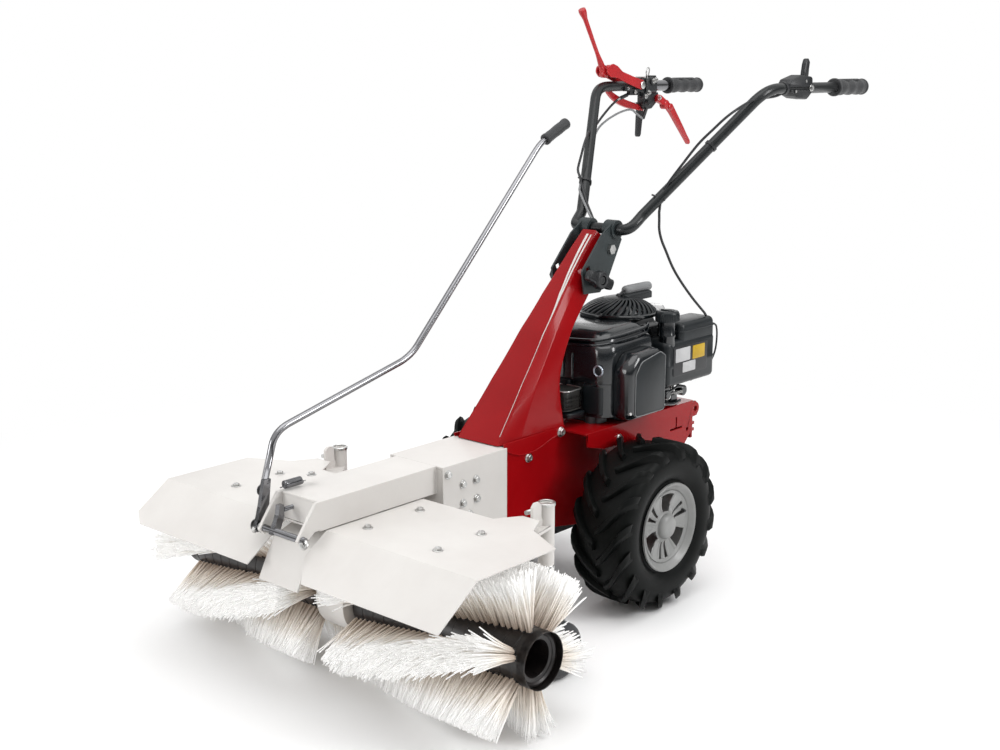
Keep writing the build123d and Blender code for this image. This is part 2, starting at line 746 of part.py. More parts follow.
# two side plates and two bosses around the handlebar tube
with BuildPart() as bar_bracket:
    for start_x in (-BRACKET_OUTER_X, BRACKET_X):
        with BuildSketch(side_plane(start_x)):
            with BuildLine():
                Polyline(*bracket_outline, close=True)
            make_face()
            with BuildLine():
                Polyline(*slot_edge(knob_distance + slot_half_width, slot_angles),
                         *slot_edge(knob_distance - slot_half_width, reversed(slot_angles)),
                         close=True)
            make_face(mode=CUT)
            with Locations((PIVOT_Y, PIVOT_Z)):
                Circle(PIVOT_R, mode=CUT)
        extrude(amount=BRACKET_T)
    for start_x in (-44.0, 18.0):
        with BuildSketch(side_plane(start_x)):
            with Locations((BOSS_Y, BOSS_Z)):
                Circle(19)
        extrude(amount=26)
    with BuildSketch(side_plane(-70)):
        with Locations((BOSS_Y, BOSS_Z)):
            Circle(TUBE_R + FIT)
    extrude(amount=140, mode=CUT)
save(bar_bracket, "bar_bracket")

bolt_head = 7
with BuildPart() as pivot_bolt:
    with BuildSketch(side_plane(-BRACKET_OUTER_X)):
        with Locations((PIVOT_Y, PIVOT_Z)):
            Circle(PIVOT_R)
    extrude(amount=2 * BRACKET_OUTER_X)
    for start_x in (-BRACKET_OUTER_X - bolt_head, BRACKET_OUTER_X):
        with BuildSketch(side_plane(start_x)):
            with Locations((PIVOT_Y, PIVOT_Z)):
                RegularPolygon(10, 6)
        extrude(amount=bolt_head)
save(pivot_bolt, "pivot_bolt")


def opposite(point):
    """The same point on the machine's right-hand side."""
    return -point[0], point[1], point[2]


# left-hand points of the tube's centre line, (x, y, z)
bar_tip = (BAR_X, BAR_END, BAR_Z)
bar_bend = (BAR_X, 392, BAR_Z)
arm_top = (196, 320, 952)
arm_foot = (76, 126.3, 739.4)
boss_end = (46, BOSS_Y, BOSS_Z)
with BuildPart() as handlebar:
    with BuildLine():
        Polyline(opposite(bar_tip), opposite(bar_bend))
        right_arm = Line(opposite(arm_top), opposite(arm_foot))
        Spline(opposite(bar_bend), opposite(arm_top), tangents=[(0, -1, 0), right_arm % 0])
        Spline(opposite(arm_foot), opposite(boss_end), tangents=[right_arm % 1, (1, 0, 0)])
        Line(opposite(boss_end), boss_end)
        left_arm = Line(arm_foot, arm_top)
        Spline(boss_end, arm_foot, tangents=[(1, 0, 0), left_arm % 0])
        Spline(arm_top, bar_bend, tangents=[left_arm % 1, (0, 1, 0)])
        Line(bar_bend, bar_tip)
    with BuildSketch(front_plane(BAR_END, -BAR_X, BAR_Z)):
        Circle(TUBE_R)
        Circle(TUBE_R - 2, mode=CUT)
    sweep(transition=Transition.RIGHT)
save(handlebar, "handlebar")

# rubber grips with finger waves
grip_section = [                     # (radius, y)
    (0, 746), (10, 746), (14.5, 742), (16, 736), (15, 722), (16, 708), (14.5, 694), (16, 680),
    (14.5, 666), (16, 652), (14.5, 640), (15, 626), (19, 624), (19, 616), (TUBE_R, 616),
    (TUBE_R, BAR_END + 0.2), (0, BAR_END + 0.2)]
with BuildPart() as hand_grips:
    for x in (-BAR_X, BAR_X):
        with BuildSketch(Plane(origin=(x, 0, BAR_Z), x_dir=(1, 0, 0), z_dir=(0, 0, 1))):
            with BuildLine():
                Polyline(*grip_section, close=True)
            make_face()
        revolve(axis=Axis((x, 0, BAR_Z), (0, 1, 0)))
save(hand_grips, "hand_grips")

thumb_centre, thumb_r = (486, 1004), 11        # (y, z) and hub radius of the thumb lever
throttle_outline = [                 # (y, z)
    (408, 995), (420, 1001), (455, 1008), (500, 1004), (500, 990), (500, 972), (482, 958),
    (440, 962), (425, 966), (408, 968)]
with BuildPart() as throttle_housing:
    with BuildSketch(side_plane(BAR_X - 15)):
        with BuildLine():
            Polyline(*throttle_outline, close=True)
        make_face()
    extrude(amount=30)
    fillet(throttle_housing.edges().filter_by(Axis.X), 3)
    with BuildSketch(rear_plane(400, BAR_X, BAR_Z)):
        Circle(TUBE_R)
    extrude(amount=110, mode=CUT)
    # slot for the thumb lever
    with BuildSketch(side_plane(BAR_X - 5)):
        with Locations(thumb_centre):
            Circle(thumb_r + 0.6)
    extrude(amount=10, mode=CUT)
save(throttle_housing, "throttle_housing")

thumb_arm = [(479, 1008), (486, 1036), (492, 1039), (499, 1035), (496, 1006)]     # (y, z)
with BuildPart() as throttle_lever:
    with BuildSketch(side_plane(BAR_X - 4.5)):
        with Locations(thumb_centre):
            Circle(thumb_r)
        with BuildLine():
            Polyline(*thumb_arm, close=True)
        make_face()
    extrude(amount=9)
save(throttle_lever, "throttle_lever")

# right-hand control cluster: clamp on the tube and the block under it
control_block = [                    # (y, z)
    (512, 964), (512, 940), (524, 928), (544, 930), (566, 946), (570, 964)]
with BuildPart() as control_clamp:
    with BuildSketch(rear_plane(512, -BAR_X, BAR_Z)):
        RectangleRounded(34, 36, 8)
        Circle(TUBE_R, mode=CUT)
    extrude(amount=42)
    with BuildSketch(side_plane(-BAR_X - 9)):
        with BuildLine():
            Polyline(*control_block, close=True)
        make_face()
        with Locations(LOCK_PIN):
            Circle(LOCK_PIN_R + FIT, mode=CUT)
        with Locations(REVERSE_PIN):
            Circle(REVERSE_PIN_R + FIT, mode=CUT)
    extrude(amount=18)
    # collar ahead of the clamp, between the cheeks of the clutch lever
    with BuildSketch(rear_plane(484, -BAR_X, BAR_Z)):
        RectangleRounded(26, 34, 6)
        Circle(TUBE_R, mode=CUT)
    extrude(amount=28)
save(control_clamp, "control_clamp")

# clutch lever: channel that straddles the tube and a long flat arm; (y, z) outlines
channel_x, cheek_t, stub_length = 17, 3.8, 4   # channel half width, cheek, pin stub
clutch_cheek = [
    (503, 992), (503, 975), (492, 972), (420, 985), (366, 1008), (368, 1028), (400, 1024),
    (470, 1006)]
clutch_back = [
    (366, 1010), (368, 1028), (400, 1024), (470, 1006), (469, 1002), (400, 1019), (374, 1022)]
clutch_arm = [
    (380, 1014), (372, 1036), (300, 1146), (291, 1150), (286, 1142), (346, 1026), (362, 1004)]
clutch_plates = [                    # outline, start x, thickness
    (clutch_cheek, -BAR_X - channel_x, cheek_t),
    (clutch_cheek, -BAR_X + channel_x - cheek_t, cheek_t),
    (clutch_back, -BAR_X - channel_x, 2 * channel_x),
    (clutch_arm, -BAR_X - 6, 12)]
with BuildPart() as clutch_lever:
    for plate, start_x, thickness in clutch_plates:
        with BuildSketch(side_plane(start_x)):
            with BuildLine():
                Polyline(*plate, close=True)
            make_face()
        extrude(amount=thickness)
    # pivot pin stubs on both sides, ahead of the clamp
    for start_x in (-BAR_X - channel_x - stub_length, -BAR_X + channel_x):
        with BuildSketch(side_plane(start_x)):
            with Locations((495, 983)):
                Circle(6)
        extrude(amount=stub_length)
save(clutch_lever, "clutch_lever")

reverse_arm = [                      # (y, z)
    (552, 962), (568, 960), (614, 936), (620, 928), (690, 852), (692, 845), (686, 843),
    (610, 918), (590, 934), (554, 946)]
with BuildPart() as reverse_lever:
    with BuildSketch(side_plane(-BAR_X - 22)):
        with Locations(REVERSE_PIN):
            Circle(REVERSE_PIN_R)
    extrude(amount=44)
    with BuildSketch(side_plane(-BAR_X + 9.6)):
        with BuildLine():
            Polyline(*reverse_arm, close=True)
        make_face()
    extrude(amount=9)
    # collar on the other side of the block
    with BuildSketch(side_plane(-BAR_X - 18)):
        with Locations(REVERSE_PIN):
            Circle(10)
    extrude(amount=8.6)
save(reverse_lever, "reverse_lever")

lock_arm = [                         # (y, z)
    (522, 944), (542, 944), (542, 926), (534, 870), (530, 866), (523, 866), (520, 870),
    (522, 926)]
with BuildPart() as lock_lever:
    with BuildSketch(side_plane(-BAR_X - 20)):
        with Locations(LOCK_PIN):
            Circle(LOCK_PIN_R)
    extrude(amount=29)
    with BuildSketch(side_plane(-BAR_X - 20)):
        with BuildLine():
            Polyline(*lock_arm, close=True)
        make_face()
    extrude(amount=8)
save(lock_lever, "lock_lever")

# wing knob that clamps the handlebar's height, and its bolt on the other side
knob_x = BRACKET_OUTER_X + 0.4
with BuildPart() as knob_left:
    with BuildSketch(side_plane(knob_x)):
        with Locations((KNOB_Y, KNOB_Z)):
            Circle(13)
    extrude(amount=12)
    with BuildSketch(side_plane(45.5)):
        with Locations((KNOB_Y, KNOB_Z)):
            SlotOverall(78, 17, rotation=-28)
            Circle(17)
    extrude(amount=20)
    fillet(knob_left.faces().sort_by(Axis.X)[-1].edges(), 4)
    with BuildSketch(side_plane(12)):
        with Locations((KNOB_Y, KNOB_Z)):
            Circle(KNOB_R)
    extrude(amount=28)
save(knob_left, "knob_left")

with BuildPart() as clamp_bolt:
    with BuildSketch(side_plane(-knob_x)):
        with Locations((KNOB_Y, KNOB_Z)):
            Circle(13)
    extrude(amount=-14)
    with BuildSketch(side_plane(-knob_x - 14)):
        with Locations((KNOB_Y, KNOB_Z)):
            RegularPolygon(10, 6)
    extrude(amount=-8)
    with BuildSketch(side_plane(-knob_x)):
        with Locations((KNOB_Y, KNOB_Z)):
            Circle(KNOB_R)
    extrude(amount=28)
save(clamp_bolt, "clamp_bolt")

# ================= brush head =================
# (y, z) outlines
case_tower = [
    (BRUSH_Y - 60, BRUSH_Z), (BRUSH_Y - 40, 291.5), (BRUSH_Y + 122, 291.5),
    (BRUSH_Y + 122, 255), (BRUSH_Y + 60, BRUSH_Z)]
case_hollow = [
    (BRUSH_Y - 52, BRUSH_Z), (BRUSH_Y - 36, 280), (BRUSH_Y + 36, 280), (BRUSH_Y + 52, BRUSH_Z)]
post_ear = [
    (-424, 262), (-424, 312), (-418, 318), (-408, 318), (-402, 312), (-402, 290), (-396, 280),
    (-396, 262)]
centre_flap = [
    (-663, 291.5), (-722, 271), (-756, 206), (-753, 204), (-719, 268.5), (-663, 286.5)]
case_wall = 5
turntable_discs = [                  # start z, radius, height
    (HEAD_PLATE_Z, 44, 8.7),         # collar under the beam
    (280, NECK_R, 19.2),             # neck inside the beam's bearing hole
    (299.2, 42, 2)]                  # flange above the beam's floor
with BuildPart() as head_frame:
    # gear case between the brush halves
    with BuildSketch(side_plane(-CASE_X)):
        with Locations((BRUSH_Y, BRUSH_Z)):
            Circle(62)
        with BuildLine():
            Polyline(*case_tower, close=True)
        make_face()
    extrude(amount=2 * CASE_X)
    with BuildSketch(side_plane(case_wall - CASE_X)):
        with Locations((BRUSH_Y, BRUSH_Z)):
            Circle(55)
        with BuildLine():
            Polyline(*case_hollow, close=True)
        make_face()
    extrude(amount=2 * (CASE_X - case_wall), mode=CUT)
    # top plate under the hoods
    with BuildSketch(Plane.XY.offset(HEAD_PLATE_Z)):
        with Locations((0, -568)):
            RectangleRounded(220, 190, 8)
    extrude(amount=5)
    for z, radius, height in turntable_discs:
        with BuildSketch(Plane.XY.offset(z)):
            with Locations((0, BRUSH_Y)):
                Circle(radius)
        extrude(amount=height)
    with BuildSketch(Plane.XY.offset(270)):
        with Locations((0, BRUSH_Y)):
            Circle(UPRIGHT_R + FIT)
    extrude(amount=40, mode=CUT)
    # rear cross bar, gussets and caster posts
    with BuildSketch(Plane.XY.offset(262)):
        with Locations((0, -470)):
            Rectangle(520, 24)
    extrude(amount=26)
    for _, sign in SIDES:
        post_x = sign * POST_X
        with BuildSketch(Plane.XY.offset(270)):
            with BuildLine():
                Polyline((sign * 170, -474), (sign * 290, -474), (sign * 272, POST_Y),
                         (sign * 244, POST_Y), close=True)
            make_face()
        extrude(amount=5)
        with BuildSketch(Plane.XY.offset(198)):
            with Locations((post_x, POST_Y)):
                Circle(14)
        extrude(amount=112)
        # J-shaped ear in front of the post
        with BuildSketch(side_plane(post_x - 3)):
            with BuildLine():
                Polyline(*post_ear, close=True)
            make_face()
        extrude(amount=6)
        with BuildSketch(Plane.XY.offset(190)):
            with Locations((post_x, POST_Y)):
                Circle(POST_BORE + FIT)
        extrude(amount=130, mode=CUT)
        # hole of the stem clamp, on the right-hand side of each post
        with BuildSketch(side_plane(post_x - 30)):
            with Locations((POST_Y, STEM_CLAMP_Z)):
                Circle(STEM_CLAMP_R + FIT)
        extrude(amount=24, mode=CUT)
    # front centre flap
    with BuildSketch(side_plane(-48)):
        with BuildLine():
            Polyline(*centre_flap, close=True)
        make_face()
    extrude(amount=96)
    # brush shaft bore
    with BuildSketch(side_plane(-CASE_X - 1)):
        with Locations((BRUSH_Y, BRUSH_Z)):
            Circle(BRUSH_SHAFT_R + FIT)
    extrude(amount=2 * CASE_X + 2, mode=CUT)
save(head_frame, "head_frame")

hood_top = [                         # (x, y) on the left-hand side
    (HOOD_INNER_X, -691), (HOOD_OUTER_X, -691), (HOOD_OUTER_X, -512), (300, -470),
    (276, -426), (240, -426), (212, -470), (HOOD_INNER_X, -470)]
hood_flap = [                        # (y, z)
    (-690, 294.5), (-692, 294.5), (-777, 236.5), (-775.5, 234.3), (-691.2, 292), (-690, 292)]
# (x, y) of the clipped lower corner, on the machine's right-hand end of each flap
flap_corner = {
    "left": [(40, -738), (49, -738), (92, -786), (92, -800), (40, -800)],
    "right": [(-390, -758), (-382, -758), (-346, -780), (-346, -800), (-390, -800)]}
for side, sign in SIDES:
    with BuildPart() as hood:
        with BuildSketch(Plane.XY.offset(HOOD_Z)):
            with BuildLine():
                Polyline(*[(sign * x, y) for x, y in hood_top], close=True)
            make_face()
        extrude(amount=HOOD_T)
        with BuildSketch(side_plane(HOOD_INNER_X if sign > 0 else -HOOD_OUTER_X)):
            with BuildLine():
                Polyline(*hood_flap, close=True)
            make_face()
        extrude(amount=HOOD_OUTER_X - HOOD_INNER_X)
        with BuildSketch(Plane.XY.offset(200)):
            with BuildLine():
                Polyline(*flap_corner[side], close=True)
            make_face()
        extrude(amount=90, mode=CUT)
    save(hood, f"hood_{side}")

with BuildPart() as head_bolts:
    for _, sign in SIDES:
        for x, y in ((92, -640), (92, -520), (250, -640), (250, -540)):
            with BuildSketch(Plane.XY.offset(HOOD_Z + HOOD_T)):
                with Locations((sign * x, y)):
                    Circle(8)
            extrude(amount=1.5)
            with BuildSketch(Plane.XY.offset(HOOD_Z + HOOD_T + 1.5)):
                with Locations((sign * x, y)):
                    RegularPolygon(6, 6)
            extrude(amount=4)
save(head_bolts, "head_bolts")

# drive shaft in the beam with its pinion
with BuildPart() as drive_shaft:
    with BuildSketch(rear_plane(-556, z=SHAFT_Z)):
        Circle(SHAFT_R)
    extrude(amount=366)
    with BuildSketch(rear_plane(BRUSH_Y + 20, z=SHAFT_Z)):
        Circle(10)
        with PolarLocations(10.5, 12, start_angle=-90):
            Rectangle(3, 1.6)
    extrude(amount=9)
save(drive_shaft, "drive_shaft")

# upright shaft on the turning axis of the head, a toothed disc on top and a pinion below
with BuildPart() as upright_shaft:
    for z, radius, height in ((170, UPRIGHT_R, 136), (302, 31, 4.3)):
        with BuildSketch(Plane.XY.offset(z)):
            with Locations((0, BRUSH_Y)):
                Circle(radius)
        extrude(amount=height)
    with BuildSketch(Plane.XY.offset(306.3)):
        with Locations((0, BRUSH_Y)):
            with PolarLocations(24, 24, start_angle=90 + 7.5):
                Rectangle(8, 1.6)
    extrude(amount=1.5)
    with BuildSketch(Plane.XY.offset(BRUSH_Z + 30)):
        with Locations((0, BRUSH_Y)):
            Circle(15)
            with PolarLocations(16.5, 12, start_angle=180):
                Rectangle(5.6, 2)
    extrude(amount=8)
save(upright_shaft, "upright_shaft")

with BuildPart() as brush_shaft:
    # the shaft, then the disc driven by the upright pinion
    for start_x, radius, length in ((-230, BRUSH_SHAFT_R, 460), (-28, 46, 8)):
        with BuildSketch(side_plane(start_x)):
            with Locations((BRUSH_Y, BRUSH_Z)):
                Circle(radius)
        extrude(amount=length)
    # teeth on the disc's left-hand face
    with BuildSketch(side_plane(-20)):
        with Locations((BRUSH_Y, BRUSH_Z)):
            with PolarLocations(34, 24, start_angle=90 + 7.5):
                Rectangle(8, 2)
    extrude(amount=2)
    # carrier discs inside the brush cores
    for start_x in (-220.0, -56.0, 48.0, 212.0):
        with BuildSketch(side_plane(start_x)):
            with Locations((BRUSH_Y, BRUSH_Z)):
                Circle(CORE_BORE)
        extrude(amount=8)
save(brush_shaft, "brush_shaft")

with BuildPart() as brush_cores:
    for start_x in (-BRUSH_HALF, CORE_INNER_X):
        with BuildSketch(side_plane(start_x)):
            with Locations((BRUSH_Y, BRUSH_Z)):
                Circle(CORE_R)
                Circle(CORE_BORE, mode=CUT)
        extrude(amount=BRUSH_HALF - CORE_INNER_X)
save(brush_cores, "brush_cores")

# bristle bodies: the sweep of the tufts around each core, 1 mm short at both ends
with BuildPart() as bristles:
    for start_x in (-BRUSH_HALF + 1, CORE_INNER_X + 1):
        with BuildSketch(side_plane(start_x)):
            with Locations((BRUSH_Y, BRUSH_Z)):
                Circle(BRUSH_R)
                Circle(CORE_R, mode=CUT)
        extrude(amount=BRUSH_HALF - CORE_INNER_X - 2)
save(bristles, "bristles")

# ================= casters =================
fork_cheek = [                       # (distance along the trail, z)
    (-10, 130), (22, 130), (TRAIL + 10, 50), (TRAIL + 6, 40), (TRAIL - 6, 40),
    (TRAIL - 10, 50), (-10, 118)]
stem_discs = [                       # start z, radius, height
    (140, POST_BORE, 164), (140, 15, 8), (120, STEM_PIN_R, 20)]
trail_x, trail_y = polar(1, CASTER_ANGLE)
for side, sign in SIDES:
    post_x = sign * POST_X
    trail_dir = Vector(sign * trail_x, trail_y, 0)
    axle_dir = Vector(-sign * trail_y, trail_x, 0)
    wheel_centre = Vector(post_x, POST_Y, CASTER_R) + trail_dir * TRAIL

    with BuildPart() as stem:
        for z, radius, height in stem_discs:
            with BuildSketch(Plane.XY.offset(z)):
                with Locations((post_x, POST_Y)):
                    Circle(radius)
            extrude(amount=height)
    save(stem, f"caster_stem_{side}")

    with BuildPart() as fork:
        with BuildSketch(Plane(origin=(post_x, POST_Y, 126), x_dir=trail_dir, z_dir=(0, 0, 1))):
            with Locations((6, 0)):
                RectangleRounded(44, 48, 8)
        extrude(amount=13.6)
        for end in (-1, 1):
            cheek_origin = Vector(post_x, POST_Y, 0) + axle_dir * (end * 22.5)
            with BuildSketch(Plane(origin=cheek_origin, x_dir=trail_dir, z_dir=axle_dir)):
                with BuildLine():
                    # local y points down on the left-hand caster, up on the right-hand one
                    Polyline(*[(x, -sign * z) for x, z in fork_cheek], close=True)
                make_face()
            extrude(amount=1.5, both=True)
        with BuildSketch(Plane(origin=wheel_centre - axle_dir * 26, x_dir=trail_dir,
                               z_dir=axle_dir)):
            Circle(CASTER_AXLE_R)
        extrude(amount=52)
        with BuildSketch(Plane.XY.offset(110)):
            with Locations((post_x, POST_Y)):
                Circle(STEM_PIN_R + FIT)
        extrude(amount=40, mode=CUT)
    save(fork, f"caster_fork_{side}")

    with BuildPart() as wheel:
        with BuildSketch(Plane(origin=wheel_centre - axle_dir * (CASTER_W / 2),
                               x_dir=trail_dir, z_dir=axle_dir)):
            Circle(CASTER_R)
        extrude(amount=CASTER_W)
        fillet(wheel.edges().filter_by(GeomType.CIRCLE), 5)
        # recessed faces
        for end in (-1, 1):
            with BuildSketch(Plane(origin=wheel_centre + axle_dir * (end * CASTER_W / 2),
                                   x_dir=trail_dir, z_dir=axle_dir * (-end))):
                Circle(32)
                Circle(12, mode=CUT)
            extrude(amount=7, mode=CUT)
        # hub ends
        for end in (-1, 1):
            with BuildSketch(Plane(origin=wheel_centre + axle_dir * (end * (CASTER_W / 2 - 1)),
                                   x_dir=trail_dir, z_dir=axle_dir * end)):
                Circle(10)
            extrude(amount=6)
        with BuildSketch(Plane(origin=wheel_centre - axle_dir * 30, x_dir=trail_dir,
                               z_dir=axle_dir)):
            Circle(CASTER_AXLE_R + FIT)
        extrude(amount=60, mode=CUT)
    save(wheel, f"caster_wheel_{side}")

    # T-handle screw that clamps the stem
    with BuildPart() as clamp:
        with BuildSketch(side_plane(post_x - 9.3)):
            with Locations((POST_Y, STEM_CLAMP_Z)):
                Circle(STEM_CLAMP_R)
        extrude(amount=-22)
        with BuildSketch(rear_plane(POST_Y - 20, post_x - 28, STEM_CLAMP_Z)):
            Circle(4)
        extrude(amount=40)
    save(clamp, f"stem_clamp_{side}")

# ================= release lever =================
lever_rod_r = 6
rod_start = (-66, -726, 346)
lever_arm = [(-752, 282), (-736, 280), (-722, 318), (-716, 366), (-730, 366), (-740, 322)]
lever_finger = [(-750, 286), (-736, 284), (-724, 312), (-724, 332), (-733, 332), (-736, 316)]
lever_plates = [                     # (y, z) outline, start x, thickness
    (lever_arm, -64, 8),             # flat arm from the bar to the rod
    (lever_finger, -25, 10)]         # finger that pushes and pulls the locking rod
with BuildPart() as lever_rod:
    # pivot bar across the beam's lugs
    with BuildSketch(side_plane(-56)):
        with Locations((LEVER_Y, LEVER_Z)):
            Circle(LEVER_R)
    extrude(amount=112)
    for plate, start_x, thickness in lever_plates:
        with BuildSketch(side_plane(start_x)):
            with BuildLine():
                Polyline(*plate, close=True)
            make_face()
        extrude(amount=thickness)
    # bent rod up to the grip: four straight runs joined by curves
    with BuildLine():
        foot_run = Line(rod_start, (-66, -703, 418))
        beam_run = Line((-66, -664, 448), (-62, -416, 509.5))
        column_run = Line((-61, -368, 535), (-58, -52, 858))
        grip_run = Line((-58, -18, 885), (-58, 40, 912))
        Spline(foot_run @ 1, beam_run @ 0, tangents=[foot_run % 1, beam_run % 0])
        Spline(beam_run @ 1, column_run @ 0, tangents=[beam_run % 1, column_run % 0])
        Spline(column_run @ 1, grip_run @ 0, tangents=[column_run % 1, grip_run % 0])
    with BuildSketch(Plane(origin=rod_start, x_dir=(1, 0, 0), z_dir=(0, 23, 72))):
        Circle(lever_rod_r)
    sweep()
save(lever_rod, "lever_rod")

grip_axis = Vector(0, 58, 27).normalized()
grip_plane = Plane(origin=(-58, -16, 885.93), x_dir=(1, 0, 0), z_dir=grip_axis)
with BuildPart() as lever_grip:
    with BuildSketch(grip_plane):
        Circle(11)
    extrude(amount=73)
    with BuildSketch(grip_plane):
        Circle(lever_rod_r + FIT)
    extrude(amount=62.5, mode=CUT)
save(lever_grip, "lever_grip")

# locking rod that the lever draws out of the beam
with BuildPart() as lock_rod:
    with BuildSketch(rear_plane(-722, -20, 322)):
        Circle(4)
    extrude(amount=92)
save(lock_rod, "lock_rod")

# return spring between the lever arm and the beam, as a plain cylinder
with BuildPart() as return_spring:
    with BuildSketch(rear_plane(-712, -40, 355)):
        Circle(5)
    extrude(amount=56)
save(return_spring, "return_spring")
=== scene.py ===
import bpy, bmesh, json, math, random
from mathutils import Vector, Matrix


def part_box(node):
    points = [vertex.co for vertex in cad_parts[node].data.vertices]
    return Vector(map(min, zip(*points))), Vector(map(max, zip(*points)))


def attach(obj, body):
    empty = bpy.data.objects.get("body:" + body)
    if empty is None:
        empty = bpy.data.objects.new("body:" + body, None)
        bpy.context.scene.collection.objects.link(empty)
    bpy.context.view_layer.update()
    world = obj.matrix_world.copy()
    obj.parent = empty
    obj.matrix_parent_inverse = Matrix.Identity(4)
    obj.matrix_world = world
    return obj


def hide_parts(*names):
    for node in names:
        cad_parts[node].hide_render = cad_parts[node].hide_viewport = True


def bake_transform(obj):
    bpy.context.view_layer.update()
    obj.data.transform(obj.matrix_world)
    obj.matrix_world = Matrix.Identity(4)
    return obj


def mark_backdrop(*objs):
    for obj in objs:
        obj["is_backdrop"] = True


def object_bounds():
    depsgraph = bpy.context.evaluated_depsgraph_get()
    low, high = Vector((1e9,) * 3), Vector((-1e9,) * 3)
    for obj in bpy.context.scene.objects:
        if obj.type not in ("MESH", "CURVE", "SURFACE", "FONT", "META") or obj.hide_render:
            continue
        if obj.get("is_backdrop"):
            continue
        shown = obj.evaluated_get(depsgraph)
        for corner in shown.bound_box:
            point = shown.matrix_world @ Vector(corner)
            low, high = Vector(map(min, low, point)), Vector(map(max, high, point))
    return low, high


# Walk-behind sweeper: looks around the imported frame. Lengths in this file are in
# millimetres and are turned into metres when a mesh is made.
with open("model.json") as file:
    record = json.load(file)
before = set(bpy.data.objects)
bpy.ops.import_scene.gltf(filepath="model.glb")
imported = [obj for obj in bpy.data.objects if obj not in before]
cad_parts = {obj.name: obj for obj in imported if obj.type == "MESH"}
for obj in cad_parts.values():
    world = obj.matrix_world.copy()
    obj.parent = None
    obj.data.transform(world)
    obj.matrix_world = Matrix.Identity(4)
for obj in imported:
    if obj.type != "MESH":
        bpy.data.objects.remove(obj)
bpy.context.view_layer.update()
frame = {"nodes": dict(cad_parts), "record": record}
NODES = frame["nodes"]
MM = 0.001
rng = random.Random(7)
rad = math.radians


def V(*a):
    return Vector(a)


# everything below is written with the wheel axle at y = 0; AX_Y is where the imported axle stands
AX_Y = (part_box("wheel_axle")[0][1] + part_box("wheel_axle")[1][1]) / 2 / MM
OFF = Vector((0, AX_Y, 0))


def bx(node):
    a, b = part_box(node)
    return Vector(a) / MM - OFF, Vector(b) / MM - OFF


